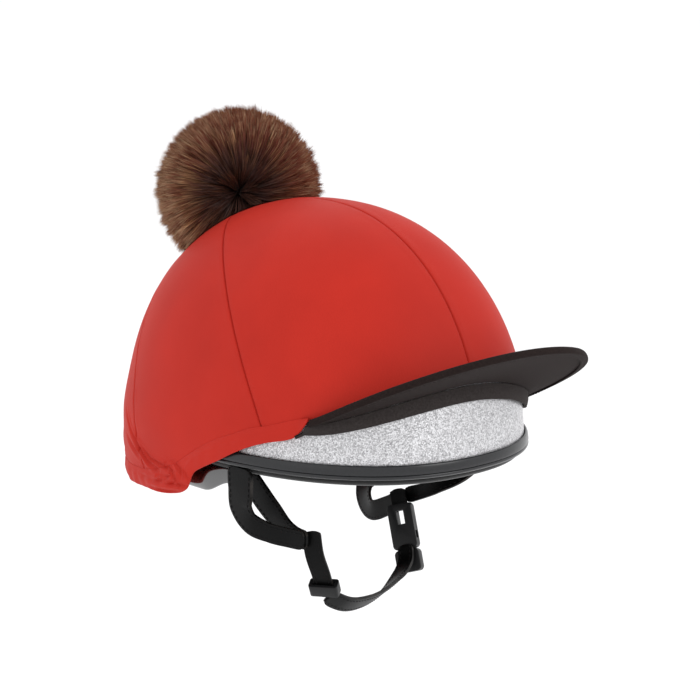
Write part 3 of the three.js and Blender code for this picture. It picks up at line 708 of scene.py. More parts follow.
# %% Padding
LIP_PROFILE = [
    (-18, 16), (-18, 10), (-17.6, 5), (-16.6, 1), (-15, -1.6), (-12.5, -2.6), (-8.5, -2.8),
    (-5.2, -2.4), (-3.3, -1.2), (-2.7, 0.2), (-3.1, 1.3), (-4.6, 1.6), (-7.6, 1.6), (-8, 3),
    (-8, 9), (-7.4, 12), (-5.8, 16),
]
PADDING_INNER, PADDING_OUTER = LIP_PROFILE[0][0], LIP_PROFILE[-1][0]
PADDING_ROWS, PADDING_COLUMNS, LIP_TOP = 24, 128, 20
lip_line = rounded(LIP_PROFILE, PROFILE_CUTS, False)
inner = crown_heights(LIP_TOP, PADDING_ROWS)
padding = sweep_round(
    "foam_padding",
    [PADDING_INNER] * PADDING_ROWS + list(lip_line[:, 0]) + [PADDING_OUTER] * PADDING_ROWS,
    [*inner, *lip_line[:, 1], *inner[::-1]],
    PADDING_COLUMNS,
)
dress(padding, brushed_lining, "padding", "liner_crown", "liner_band", angle=SOFT_ANGLE)

# %% [markdown]
# ## The stretch cover
# The cover is cut from six panels that meet at a point under the pompom, tilted back from the
# crown. Each panel is laid from that pole down to its lower edge along great circles, so its
# seams run as they do on the real cover. The edge's height is read from short tables: over
# the peak it follows the peak's root, and behind it drops with the hem.

# %% Cover form
STAND_OFF = np.array([
    (-42, -4.5), (-28, 0.6), (-12, 2.6), (2, 2.8), (13, 2.7), (36, 0.9), (60, 0.5), (147, 0.5),
])
HEM_LINE = np.array([
    (45, 31, 29), (47, 30, 24), (50, 28.5, 18.7), (58, 23, 14), (64, 20, 9.6), (70, 15, 4),
    (76, 10.5, -2.2), (84, 3, -9.6), (88, -1.5, -14.4), (92, -6, -25.5), (100, -14.5, -31.5),
    (115, -23, -35.5), (135, -27, -38), (158, -28, -39.5), (180, -28, -39.5),
])
SEAM_TURNS = [0, 60, 118, 180, 242, 300, 360]
POLE_LEAN, POLE_HOLE, SIDE_LEAN = math.radians(29), 7, 0.06
PEAK_HALF, PEAK_ROOT, PEAK_DROP, PEAK_RECOVER = 46.7, 52.7, 40, 14.5
HEM_START, COVER_WALL, EDGE_ABOVE_ROOT = 47.2, 1, 2.3
pole = np.array([0, math.sin(POLE_LEAN), math.cos(POLE_LEAN)])


def read_table(rows, column, at):
    """A smooth line through a table, with each slope taken from the rows beside it."""
    x, y = rows[:, 0], rows[:, column]
    at = np.clip(at, x[0], x[-1])
    i = np.clip(np.searchsorted(x, at, "right") - 1, 0, len(x) - 2)
    before = np.maximum(np.arange(len(x)) - 1, 0)
    after = np.minimum(np.arange(len(x)) + 1, len(x) - 1)
    slope = (y[after] - y[before]) / (x[after] - x[before])
    step = x[i + 1] - x[i]
    t = (at - x[i]) / step
    ease = t * t * (3 - 2 * t)
    bend = t * (1 - t) * step * ((1 - t) * slope[i] - t * slope[i + 1])
    return y[i] * (1 - ease) + y[i + 1] * ease + bend


def smooth_step(at, low, high):
    t = np.clip((at - low) / (high - low), 0, 1)
    return t * t * (3 - 2 * t)


def lean_at(point):
    """The cover sits a little higher on the wearer's right."""
    return -SIDE_LEAN * point[..., 0]


def turn_of(azimuth):
    """The angle from the front, the same to both sides."""
    return np.abs((np.asarray(azimuth, float) + 180) % 360 - 180)


def peak_root(azimuth):
    share = np.minimum(turn_of(azimuth), PEAK_HALF) / PEAK_HALF
    return PEAK_ROOT - PEAK_DROP * share ** 2 + PEAK_RECOVER * share ** 4


def cover_edge_height(azimuth):
    turn = turn_of(azimuth)
    front = peak_root(azimuth) + EDGE_ABOVE_ROOT
    height = np.where(turn < HEM_START, front, read_table(HEM_LINE, 1, turn))
    return height + lean_at(dome_point(azimuth, height))


def cover_point(azimuth, share, lift):
    """A point of the cover, at a share of the way from the pole down to its lower edge."""
    edge = dome_point(azimuth, cover_edge_height(azimuth))
    edge = edge / np.linalg.norm(edge, axis=-1, keepdims=True)
    hole = POLE_HOLE / np.linalg.norm(dome_along(pole))
    dot = edge @ pole
    angle = hole + (np.arccos(dot) - hole) * share
    side = edge - dot[..., None] * pole
    side /= np.linalg.norm(side, axis=-1, keepdims=True)
    point = dome_along(pole * np.cos(angle)[..., None] + side * np.sin(angle)[..., None])
    off = read_table(STAND_OFF, 1, point[..., 2]) + lift
    return point + dome_normal(point) * off[..., None]


print("cover pole", dome_along(pole).round(1))

# %% [markdown]
# Behind the ear the cloth hangs a little loose below the shell, and there it lies in soft
# creases. Each crease is a line of places on the dome, with a width and a depth. It is a
# shallow valley between two low ridges, and it fades at both ends. The other side has its own
# set, since no two sides fall alike.

# %% Creases of the loose cloth
CREASES = [
    (1.5, 2.3, [(128, 14), (123, 3), (116.4, -6), (113.2, -11.6), (107, -14)]),
    (0.9, 1.5, [(117, -1), (111, -8.2), (104, -9.8), (97, -10.2)]),
    (1.0, 1.6, [(121, -22.4), (110, -20.6), (99, -18.6), (89, -16.4)]),
    (0.8, 1.2, [(101, -3), (95, -7), (89, -12)]),
    (0.9, 1.4, [(108, -16.8), (99, -14.4), (92, -9.6)]),
    (0.8, 1.1, [(104, -4.4), (98, -12.6), (95, -19)]),
    (0.9, 1.3, [(116, -27.4), (104, -25.2), (95, -22.4)]),
    (1.5, 1.6, [(130, -2), (119, -10.5)]),
    (2.6, 1.1, [(150, -6), (141, -15), (136, -22)]),
    (2.2, 0.9, [(168, -12), (160, -20)]),
    (1.4, 0.5, [(76, 13), (68, 19.5), (59, 24.5)]),
    (2.4, 1.2, [(-97, -9), (-106, -13.4), (-116, -14)]),
    (1.6, 1.2, [(-90, -15), (-101, -18.6), (-112, -21), (-123, -22)]),
    (2.2, 1.3, [(-108, -17), (-116, -13), (-123, -4), (-128, 8)]),
    (1.3, 0.8, [(-90, -4), (-99, -7), (-104, -14)]),
    (2.2, 1.0, [(-138, -20), (-147, -12), (-151, -5)]),
    (2.0, 0.9, [(-166, -20), (-173, -13)]),
    (1.6, 0.6, [(-60, 24), (-69, 18)]),
]
CREASE_RADIUS, FAR = 112, 1e3
RIDGE_HEIGHT, RIDGE_PLACE, RIDGE_WIDTH = 0.4, 2.1, 1.1
WAVE_TURN = 25


def crease_lift(azimuth, height):
    """How far the creases lift the cloth, with the dome unrolled to a flat map."""
    total = np.zeros(np.shape(azimuth))
    scale = np.array([math.radians(1) * CREASE_RADIUS, 1])
    turn = (np.asarray(azimuth, float) + 180) % 360 - 180
    for width, depth, places in CREASES:
        line = np.array(places, float)
        nearest, fade = np.full(total.shape, FAR), np.zeros(total.shape)
        for k, (a, b) in enumerate(zip(line, line[1:])):
            run = (b - a) * scale
            offset = (np.stack([turn, height], -1) - a) * scale
            along = np.clip(offset @ run / (run @ run), 0, 1)
            gap = np.linalg.norm(offset - along[..., None] * run, axis=-1)
            share = (k + along) / (len(line) - 1)
            strength = np.sin(np.pi * np.clip(share, 0.02, 0.98)) ** 0.6
            fade = np.where(gap < nearest, strength, fade)
            nearest = np.minimum(nearest, gap)
        valley = -np.exp(-(nearest / width) ** 2)
        beside = (nearest - RIDGE_PLACE * width) / (RIDGE_WIDTH * width)
        ridge = RIDGE_HEIGHT * np.exp(-beside ** 2)
        total += depth * fade * (valley + ridge)
    return total


def hem_wave(azimuth):
    """A slow wave of the hem's lower edge, from behind the ears round the back."""
    return smooth_step(turn_of(azimuth), 90, 130) * np.sin(2 * np.pi * azimuth / WAVE_TURN)


print(len(CREASES), "creases")

# %% [markdown]
# At a seam the two panels turn under and are sewn, so each edge sinks by about a millimetre
# and pulls up a low ridge beside it, with faint puckers from the stitches. The grid's columns
# are crowded towards both seams to draw this. The lower edge tucks in under the hem's casing
# in the same way. The two panels behind the near ear carry the fine creases, so their grids
# are finer. The jersey is 1 mm thick and lies on the shell.

# %% Six panels
PANEL_GRID, CREASED_GRID, CREASED_PANELS, PANEL_LENGTH = (56, 84), (96, 130), (2, 3), 170
SEAM_SINK, SEAM_WIDTH, CROWDING, TUCK_DEPTH = 1.1, 0.5, 0.92, 0.45
PUCKER_HEIGHT, PUCKER_PLACE, PUCKER_WIDTH, PUCKER_PITCH = 0.14, 3, 2.4, 2.4


def crowd(share):
    """Moves even shares towards both ends."""
    return share - CROWDING * np.sin(2 * np.pi * share) / (2 * np.pi)


for number, (start, end) in enumerate(zip(SEAM_TURNS, SEAM_TURNS[1:]), 1):

    def panel_place(u, v, start=start, end=end):
        share = crowd(u)
        azimuth = start + (end - start) * share
        flush = np.zeros_like(u)
        right, left = (cover_point(np.full_like(u, seam), v, flush) for seam in (start, end))
        gap = np.minimum(share, 1 - share) * np.linalg.norm(left - right, axis=1)
        height = cover_point(azimuth, v, flush)[:, 2]
        sink = SEAM_SINK * np.exp(-(gap / SEAM_WIDTH) ** 2)
        pucker = PUCKER_HEIGHT * np.exp(-((gap - PUCKER_PLACE) / PUCKER_WIDTH) ** 2)
        pucker *= (1 - np.exp(-(gap ** 2))) * (1 + 0.6 * np.sin(height / PUCKER_PITCH + start))
        crease = crease_lift(azimuth, height) * smooth_step(height, 40, 20)
        above_hem = (1 - v) * PANEL_LENGTH
        tuck = TUCK_DEPTH * (1 - smooth_step(above_hem, 0.3, 1.6))
        pucker *= smooth_step(v, 0, 0.15) * smooth_step(above_hem, 0.5, 4)
        return cover_point(azimuth, v, COVER_WALL - sink - tuck + pucker + crease)

    grid = CREASED_GRID if number in CREASED_PANELS else PANEL_GRID
    panel, flat = lay(f"jersey_panel_{number}", *grid, panel_place)
    thicken(panel, COVER_WALL)
    dress(panel, stretch_jersey, "cover", f"cover_panel_{number}", angle=SOFT_ANGLE)

# %% [markdown]
# The hem is a casing sewn round an elastic. It is a soft, slightly flat tube that hugs the
# shell from one corner of the peak round the nape to the other. Its section is a rounded
# oblong, thinner at the seam, and the elastic draws fine gathers into its outer side, deeper
# at the back. Its upper edge follows the panels' creases, which keeps the seam closed. At each
# end it laps over the corner of the peak, where it lifts a little and its edge runs up.

# %% Hem casing
HEM_GRID = (840, 48)
HEM_WALL, HEM_LAP, SEAM_FULLNESS = 2.6, 0.9, 0.62
GATHER_TURN, GATHER_LEAST, GATHER_MORE = 6.3, 0.08, 0.27
CORNER_START, CORNER_TURN, CORNER_RISE, CORNER_OFF = 45.2, 1.5, 1.2, 2.4


def power(value, exponent):
    """A power that keeps the sign, so that a circle becomes a rounded oblong."""
    return np.sign(value) * abs(value) ** exponent


def hem_place(u, v):
    azimuth = CORNER_START + u * (360 - 2 * CORNER_START)
    turn = turn_of(azimuth)
    corner = 1 - smooth_step(turn, CORNER_START, HEM_START + CORNER_TURN)
    ring = 2 * np.pi * v
    share = 0.5 - 0.5 * power(np.cos(ring), 0.6)
    full = SEAM_FULLNESS + (1 - SEAM_FULLNESS) * smooth_step(share, 0, 0.4)
    thick = 0.5 * HEM_WALL * full * (1 + power(np.sin(ring), 0.75))
    seam = read_table(HEM_LINE, 1, turn) + HEM_LAP
    edge = read_table(HEM_LINE, 2, turn) + CORNER_RISE * corner
    height = seam + (edge - seam) * share
    level = height + lean_at(dome_point(azimuth, height))
    slow = np.sin(azimuth / 17) + 0.6 * np.sin(azimuth / 7.3 + 2)
    gather = np.sin(2 * np.pi * azimuth / GATHER_TURN + 1.7 * slow)
    drawn = GATHER_LEAST + GATHER_MORE * smooth_step(turn, 100, 140)
    outer_side = smooth_step(np.sin(ring), -0.1, 0.6)
    off = read_table(STAND_OFF, 1, level) + thick + hem_wave(azimuth) * share + CORNER_OFF * corner
    off = off + outer_side * drawn * gather * smooth_step(share, 0, 0.5)
    follows = np.maximum(outer_side, 1 - smooth_step(share, 0.1, 0.4))
    return on_dome(azimuth, level, off + follows * crease_lift(azimuth, level))


hem = lay("jersey_hem_casing", *HEM_GRID, hem_place, closed=True)[0]
dress(hem, stretch_jersey, "cover", "hem_casing", angle=SOFT_ANGLE)

# %% [markdown]
# ## The peak
# The peak is a thin stiffened sheet sewn to the front of the cover. It leaves the shell along
# a root line that arches up in the middle, and slopes upwards at 27 degrees. Its inner edge
# reaches in under the cover's edge, further on the higher side, so that no slit shows there.
# A grid laid from the root outwards gives it this outline in one step, and Solidify and Bevel
# give the sheet its wall and its soft edge.

# %% Peak
PEAK_OFF, PEAK_TUCK, PEAK_REACH, PEAK_SLOPE = 4.8, 3.4, 50.5, math.radians(27)
OUTLINE_POWER, FULLNESS, PEAK_WALL, PEAK_LIFT = 2.5, 1.5, 2.2, 0.4
SHEET_HALF, SEAM_REACH, HIGH_SIDE_REACH = 46.2, 0.5, 1.4


def peak_reach(azimuth):
    """How far the peak stands out from its root."""
    share = turn_of(azimuth) / PEAK_HALF
    return PEAK_REACH * (1 - share ** OUTLINE_POWER) ** FULLNESS / math.cos(PEAK_SLOPE)


def peak_point(azimuth, distance, lift):
    """A point of the peak, by its distance out from the root and its height on the sheet."""
    outward = outward_at(azimuth)
    rise = np.array([0, 0, 1.0])
    along = outward * math.cos(PEAK_SLOPE) + rise * math.sin(PEAK_SLOPE)
    up = rise * math.cos(PEAK_SLOPE) - outward * math.sin(PEAK_SLOPE)
    bend = np.clip(-distance / PEAK_TUCK, 0, 1)[..., None]
    up = up * (1 - bend) + rise * bend
    up /= np.linalg.norm(up, axis=-1, keepdims=True)
    off = PEAK_OFF + np.minimum(distance, 0)
    point = dome_point(azimuth, peak_root(azimuth)) + outward * off[..., None]
    point = point + along * np.maximum(distance, 0)[..., None] + up * np.asarray(lift)[..., None]
    point[..., 2] += lean_at(point)
    return point


def peak_place(u, v):
    azimuth = (2 * u - 1) * SHEET_HALF
    tuck = PEAK_TUCK + SEAM_REACH + HIGH_SIDE_REACH * np.clip(2 * u - 1, 0, 1)
    distance = -tuck + v * (peak_reach(azimuth) + tuck)
    return peak_point(azimuth, distance, np.full_like(u, PEAK_LIFT + PEAK_WALL))


peak, flat = lay("peak_stiffened_sheet", 120, 24, peak_place, about=(0, 0, -200))
thicken(peak, PEAK_WALL, rounding=0.5)
dress(peak, matt_twill, "peak", "peak")

# %% [markdown]
# A binding folds over the peak's free edge. Its grid runs from the lap above, round the edge
# by half a turn, to the lap below. Near the corners the peak is short, so the laps are too.

# %% Binding
BINDING_HALF, BINDING_DEPTH, BINDING_WALL = 45.6, 5, 0.8
BINDING_SHARE, BINDING_EASE, FOLD_REACH = 0.55, 0.3, 1.1
binding_middle = PEAK_LIFT + PEAK_WALL / 2
binding_high = PEAK_WALL / 2 + BINDING_EASE + BINDING_WALL


def binding_depth(reach):
    return np.minimum(BINDING_DEPTH, reach * BINDING_SHARE)


def binding_place(u, v):
    azimuth = (2 * u - 1) * BINDING_HALF
    reach = peak_reach(azimuth)
    round_part = np.clip((v - 0.3) / 0.4, 0, 1) * np.pi
    flat_part = np.clip(1 - v / 0.3, 0, 1) + np.clip((v - 0.7) / 0.3, 0, 1)
    distance = reach - binding_depth(reach) * flat_part + FOLD_REACH * np.sin(round_part)
    return peak_point(azimuth, distance, binding_middle + binding_high * np.cos(round_part))


binding, flat = lay("peak_edge_binding", 140, 20, binding_place, about=(0, -100, 60))
thicken(binding, BINDING_WALL, rounding=0.25)
dress(binding, matt_twill, "peak", "peak_binding", angle=SOFT_ANGLE)

# %% [markdown]
# Under the peak a dark elastic band hugs the shell. It is a strip 2 mm thick, a little fuller
# along its middle, that narrows towards the corners and runs in under the hem's ends.

# %% Band under the peak
BAND_HALF, BAND_HEIGHT, BAND_TAPER, BAND_FALL = 49.2, 9.6, 4.2, 1.1
BAND_WALL, FOOT_OFF, HEAD_OFF, BAND_GAP, BAND_FULLNESS = 2, 0.5, 2.5, 0.4, 0.5


def band_place(u, v):
    azimuth = (2 * u - 1) * BAND_HALF
    turn = turn_of(azimuth)
    root = peak_root(azimuth)
    tall = BAND_HEIGHT - BAND_TAPER * np.minimum(turn / PEAK_HALF, 1) ** 4
    foot = root - tall - BAND_FALL * np.maximum(turn - PEAK_HALF, 0)
    edge = read_table(HEM_LINE, 2, turn) - BAND_GAP
    head = np.minimum(root, np.where(turn < HEM_START - 0.3, root, edge))
    height = head + (foot - head) * v
    off = HEAD_OFF + (FOOT_OFF - HEAD_OFF) * v + BAND_WALL + BAND_FULLNESS * np.sin(np.pi * v)
    point = dome_point(azimuth, height) + outward_at(azimuth) * off[:, None]
    point[:, 2] += lean_at(point)
    return point


band = lay("elastic_band", 160, 10, band_place)[0]
thicken(band, BAND_WALL, rounding=0.6)
dress(band, woven_elastic, "peak", "peak_band", angle=SOFT_ANGLE)

# %% [markdown]
# ## The harness
# Every strap is a flat ribbon of leather, 2 mm thick, that runs along a smooth curve through
# a few places. The places are shares of the dome's half width, its half length and the
# harness's depth, and each carries the strap's width there, as a share of the plain width.
# A ribbon faces a chosen way, and the chin strap turns from one facing to another along its
# length. A bevelled curve would have one width all along, so a grid is laid on the curve.

# %% Strap curves
HARNESS_DEPTH, STRAP_WIDTH, STRAP_WALL = 100, 11.5, 2
STRAPS = {
    "right_outer_strap": ([-1, 0, 0], [-1, 0, 0], [
        (-0.9712, 0.2862, 0.014, 1.913), (-0.9712, 0.2862, -0.12, 1.826),
        (-0.9615, 0.279, -0.23, 1.652), (-0.9375, 0.3152, -0.32, 1.304),
        (-0.8942, 0.3986, -0.365, 1.043), (-0.8462, 0.4928, -0.38, 1), (-0.8231, 0.5725, -0.38, 1),
    ]),
    "right_inner_strap": ([-1, 0, 0], [-1, 0, 0], [
        (-0.80288, 0.1087, 0.08, 1.391), (-0.80288, 0.1667, -0.06, 1.391),
        (-0.7885, 0.2681, -0.21, 1.478), (-0.7788, 0.3406, -0.295, 1.391),
        (-0.7846, 0.4203, -0.36, 1.217), (-0.7952, 0.5, -0.382, 1.043), (-0.8, 0.5725, -0.384, 1),
    ]),
    "right_side_strap": ([-0.85, -0.5, 0], [-0.85, -0.5, 0], [
        (-0.7481, 0.5543, -0.34, 1), (-0.7404, 0.5688, -0.48, 1),
        (-0.6923, 0.5725, -0.62, 1), (-0.625, 0.5507, -0.77, 1),
    ]),
    "left_rear_strap": ([1, 0, 0], [1, 0, 0], [
        (0.9654, -0.3043, 0.014, 1.739), (0.9519, -0.3043, -0.12, 1.739),
        (0.8077, -0.2899, -0.4, 1.739), (0.6731, -0.2536, -0.61, 1.565),
        (0.5962, -0.1449, -0.68, 1.217), (0.5817, -0.029, -0.62, 1.13),
        (0.5769, 0.087, -0.53, 1.043),
    ]),
    "left_front_strap": ([0.95, -0.3, 0], [0.95, -0.3, 0], [
        (0.9288, 0.4565, 0.014, 1.043), (0.9038, 0.4493, -0.1, 0.957),
        (0.7692, 0.3768, -0.3, 0.87), (0.6635, 0.2609, -0.415, 0.783),
        (0.6192, 0.1014, -0.51, 0.957),
    ]),
    "left_side_strap": ([0.85, 0.5, 0], [0.85, 0.5, 0], [
        (0.5433, 0.0739, -0.464, 0.913), (0.52718, 0.11262, -0.59335, 0.913),
    ]),
    "chin_strap": ([-0.6, -0.75, -0.25], [0.865, 0.415, -0.281], [
        (-0.6115, 0.5457, -0.781, 1), (-0.4423, 0.529, -0.87, 1), (-0.2308, 0.4783, -0.92, 1),
        (0, 0.3986, -0.945, 1), (0.1923, 0.3225, -0.945, 1), (0.3365, 0.2717, -0.91, 0.957),
        (0.4212, 0.2319, -0.87, 0.913), (0.4615, 0.1957, -0.792, 0.913),
    ]),
}


def unit_rows(rows):
    return rows / np.linalg.norm(rows, axis=1, keepdims=True)


def curve_at(points, share):
    """A centripetal curve through points: its places and directions at shares from 0 to 1."""
    ends = np.vstack([2 * points[0] - points[1], points, 2 * points[-1] - points[-2]])
    at = share * (len(points) - 1)
    i = np.clip(at.astype(int), 0, len(points) - 2)
    t = (at - i)[:, None]
    p0, p1, p2, p3 = (ends[i + k] for k in range(4))
    steps = ((p0, p1), (p1, p2), (p2, p3))
    d0, d1, d2 = (np.linalg.norm(b - a, axis=1, keepdims=True) ** 0.5 for a, b in steps)
    m1 = ((p1 - p0) / d0 - (p2 - p0) / (d0 + d1) + (p2 - p1) / d1) * d1
    m2 = ((p2 - p1) / d1 - (p3 - p1) / (d1 + d2) + (p3 - p2) / d2) * d1
    c2, c3 = -3 * p1 + 3 * p2 - 2 * m1 - m2, 2 * p1 - 2 * p2 + m1 + m2
    along = m1 + 2 * c2 * t + 3 * c3 * t ** 2
    return p1 + m1 * t + c2 * t ** 2 + c3 * t ** 3, unit_rows(along)


def strap_frame(name, share):
    """A strap's middle line, its directions across and outwards, and its half width."""
    facing, end_facing, rows = STRAPS[name]
    rows = np.array(rows, float)
    points = rows[:, :3] * [HALF_WIDTH, -HALF_LENGTH, HARNESS_DEPTH]
    middle, along = curve_at(points, share)
    outward = np.array(facing) + (np.array(end_facing, float) - facing) * share[:, None]
    across = unit_rows(np.cross(along, outward))
    half = np.interp(share * (len(rows) - 1), np.arange(len(rows)), rows[:, 3]) * STRAP_WIDTH / 2
    return middle, across, np.cross(across, along), half

# %% [markdown]
# Each ribbon's outer face is laid a little crowned, and Solidify and Bevel make the leather of
# it. The cut ends are rounded, and the left front strap's end reaches a little further, in
# under the strap that holds the buckle.

# %% Straps
END_ROUNDING, END_REACH = 0.06, {"left_front_strap": 1.04}
FACE_CROWN, FACE_SINK, ACROSS, STEPS_A_SPAN = 0.25, 0.15, 12, 10

for name in STRAPS:

    def strap_place(u, v, name=name):
        middle, across, face, half = strap_frame(name, v * END_REACH.get(name, 1))
        crown = FACE_CROWN * (1 - (2 * u - 1) ** 2)
        end = np.clip(1 - np.minimum(v, 1 - v) / END_ROUNDING, 0, 1)
        side = ((2 * u - 1) * half * (0.5 + 0.5 * np.sqrt(1 - end ** 2)))[:, None]
        return middle + across * side + face * (STRAP_WALL / 2 - FACE_SINK + crown)[:, None]

    steps = (len(STRAPS[name][2]) - 1) * STEPS_A_SPAN
    strap, flat = lay(f"leather_{name}", ACROSS, steps, strap_place)
    outward = strap_frame(name, np.array([0.5]))[2][0]
    halfway = strap.data.polygons[len(strap.data.polygons) // 2]
    if halfway.normal.dot(Vector(outward)) < 0:
        strap.data.flip_normals()
    thicken(strap, STRAP_WALL, rounding=0.45)
    dress(strap, bridle_leather, "harness", name, angle=SOFT_ANGLE)
    print(f"{name}: {flat[1] * 1000:.0f} mm long")

# %% [markdown]
# Round the nape runs a padded roll of patent leather, tucked up under the padding. From the
# front only its near end shows, where its glossy underside mirrors the pale floor. It is a
# closed tube with a flattened section, fullest along its middle and lower towards its ends.

# %% Nape pad
NAPE_FROM, NAPE_TO, NAPE_TOP, NAPE_FACE, NAPE_WALL, NAPE_BULGE = 70, 241.5, -2, -3.4, 3, 1.2
NAPE_END_HEIGHT, NAPE_HEIGHT = 9.4, 17.8


def nape_place(u, v):
    azimuth = NAPE_FROM + (NAPE_TO - NAPE_FROM) * u
    settle = smooth_step(np.minimum(azimuth - NAPE_FROM, NAPE_TO - azimuth), 5, 18)
    height = NAPE_END_HEIGHT + (NAPE_HEIGHT - NAPE_END_HEIGHT) * settle
    ring = 2 * np.pi * v
    low = 0.5 - 0.5 * power(np.cos(ring), 0.75)
    outer = 0.5 + 0.5 * power(np.sin(ring), 0.6)
    off = NAPE_FACE - NAPE_WALL + (NAPE_WALL + NAPE_BULGE * settle * np.sin(np.pi * low)) * outer
    return on_dome(azimuth, NAPE_TOP - low * height, off)


nape = lay("leather_nape_pad", 160, 24, nape_place, closed=True)[0]
dress(nape, patent_leather, "harness", "nape_pad", angle=SOFT_ANGLE)

# %% [markdown]
# Stitches are short, fat threads that sink into the leather at both ends. One stitch is a
# small bead, stretched along its row. A whole row is one mesh, copied by arrays: each copy is
# turned to its own place's directions.

# %% Stitches
def stitch_row(name, places, along, face, long, wide, material, slot):
    """One mesh with a bead at every place, laid along its row and facing outwards."""
    bpy.ops.object.select_all(action="DESELECT")
    bpy.ops.mesh.primitive_uv_sphere_add(segments=8, ring_count=5, radius=1)
    row = bpy.context.active_object
    row.name = row.data.name = name
    bead = np.array([vertex.co for vertex in row.data.vertices])
    faces = [list(polygon.vertices) for polygon in row.data.polygons]
    across = np.cross(face, along)
    shape = bead * [long / 2, wide / 2, wide / 2]
    turned = (shape[None, :, 0, None] * along[:, None] + shape[None, :, 1, None] * across[:, None]
              + shape[None, :, 2, None] * face[:, None])
    points = (places[:, None] + turned).reshape(-1, 3) * MM
    count = len(bead)
    every = [[k * count + i for i in corners] for k in range(len(places)) for corners in faces]
    mesh = bpy.data.meshes.new(name)
    mesh.from_pydata(points.tolist(), [], every)
    old, row.data = row.data, mesh
    bpy.data.meshes.remove(old)
    dress(row, material, slot)


def even_shares(line, pitch):
    """Shares of a line at which stitches lie evenly, about a pitch apart."""
    steps = np.linalg.norm(np.diff(line, axis=0), axis=1)
    run = np.concatenate([[0], np.cumsum(steps)])
    count = max(int(run[-1] / pitch), 2)
    return np.interp((np.arange(count) + 0.5) / count * run[-1], run, np.linspace(0, 1, len(line)))


STITCH_INSET, STITCH_PITCH, STITCH_LONG, STITCH_WIDE = 1.9, 3.4, 2.4, 0.6
FRONT_PROUD, BACK_PROUD = 0.05, 0.1
fine = np.linspace(0, 1, 400)


def strap_edge(name, side, at):
    """The line of a strap's stitches, just in from one edge, with two of its directions."""
    middle, across, face, half = strap_frame(name, at)
    return middle + across * (side * (half - STITCH_INSET))[:, None], across, face


for name in ("right_outer_strap", "right_inner_strap", "right_side_strap", "chin_strap",
             "left_rear_strap", "left_front_strap"):
    places, runs, faces = [], [], []
    for side in (-1, 1):
        at = even_shares(strap_edge(name, side, fine)[0], STITCH_PITCH)
        line, across, face = strap_edge(name, side, at)
        for front, proud in ((-1, BACK_PROUD), (1, FRONT_PROUD)):
            places.append(line + face * front * (STRAP_WALL / 2 + proud))
            runs.append(np.cross(face, across))
            faces.append(face)
    stitch_row(f"stitches_{name}", np.vstack(places), np.vstack(runs), np.vstack(faces),
               STITCH_LONG, STITCH_WIDE, black_thread, "harness")

# %% [markdown]
# The binding has its own finer row, above and below the peak, along the binding's inner edge.
# Two places close together on that line give the direction of each stitch.

# %% Stitches of the binding
SEAM_HALF, SEAM_INSET, SEAM_PITCH, SEAM_LONG, SEAM_WIDE = 43, 1.1, 2.9, 2.1, 0.5
CLOSE_BY = 0.001


def seam_line(share, front):
    azimuth = (2 * share - 1) * SEAM_HALF
    reach = peak_reach(azimuth)
    lift = binding_middle + front * binding_high
    return peak_point(azimuth, reach - binding_depth(reach) + SEAM_INSET, lift)


places, runs, faces = [], [], []
for front in (-1, 1):
    at = even_shares(seam_line(fine, front), SEAM_PITCH)
    ahead = unit_rows(seam_line(at + CLOSE_BY, front) - seam_line(at - CLOSE_BY, front))
    up = np.tile([0, math.sin(PEAK_SLOPE), math.cos(PEAK_SLOPE)], (len(at), 1)) * front
    places.append(seam_line(at, front))
    runs.append(ahead)
    faces.append(unit_rows(up - ahead * (up * ahead).sum(1, keepdims=True)))
stitch_row("stitches_binding", np.vstack(places), np.vstack(runs), np.vstack(faces),
           SEAM_LONG, SEAM_WIDE, charcoal_thread, "peak")

# %% [markdown]
# The keeper and the two halves of the buckle are mouldings with true shapes already. Each is
# copied from its solid, its loose faces are merged, and its edges get a small radius by a
# Bevel modifier, because no moulding has a sharp one.

# %% Mouldings
WELD_WITHIN, FLAT_ANGLE = 0.005, 1


def moulded_copy(node, name, radius):
    source = bpy.data.objects[node]
    mesh = source.data.copy()
    mesh.transform(source.matrix_world)
    piece = bpy.data.objects.new(name, mesh)
    bpy.context.scene.collection.objects.link(piece)
    select_only(piece)
    bpy.ops.object.mode_set(mode="EDIT")
    bpy.ops.mesh.select_all(action="SELECT")
    bpy.ops.mesh.remove_doubles(threshold=WELD_WITHIN * MM)
    bpy.ops.mesh.dissolve_limited(angle_limit=math.radians(FLAT_ANGLE))
    bpy.ops.object.mode_set(mode="OBJECT")
    apply_modifier(piece, "BEVEL", width=radius * MM, segments=BEVEL_STEPS, limit_method="ANGLE",
                   angle_limit=math.radians(HARD_ANGLE))
    dress(piece, moulded_acetal, "buckle", node)


moulded_copy("strap_keeper", "moulded_keeper", 0.6)
moulded_copy("buckle_socket", "moulded_buckle_socket", 0.5)
moulded_copy("buckle_tongue", "moulded_buckle_tongue", 0.35)

# %% [markdown]
# ## The pompom
# The pompom is long fake fur, tied at the cover's pole. Its pile parts at a whorl, which faces
# the photographer, lies over from there and stands straight out towards the far side. The
# hairs hang together in locks, each lock with its own tone. A particle system would make the
# hairs too, but each hair has to be a mesh here, so they are laid as flat ribbons of two quads
# and a tip, about as few faces as still bend. They grow from a dark ball.

# %% Pompom
POMPOM_LIFT, CORE_RADIUS, ROOT_RADIUS, TIP_RADIUS = 20, 25, 24, 55.5
seat = dome_along(pole)
centre = seat + dome_normal(seat) * POMPOM_LIFT

bpy.ops.object.select_all(action="DESELECT")
bpy.ops.mesh.primitive_ico_sphere_add(subdivisions=4, radius=CORE_RADIUS * MM, location=centre * MM)
core = bpy.context.active_object
core.name = core.data.name = "pompom_backing"
bpy.ops.object.transform_apply(location=True, rotation=True, scale=True)
dress(core, pile_backing, "fur", "pompom")
print("pompom centre", centre.round(1))

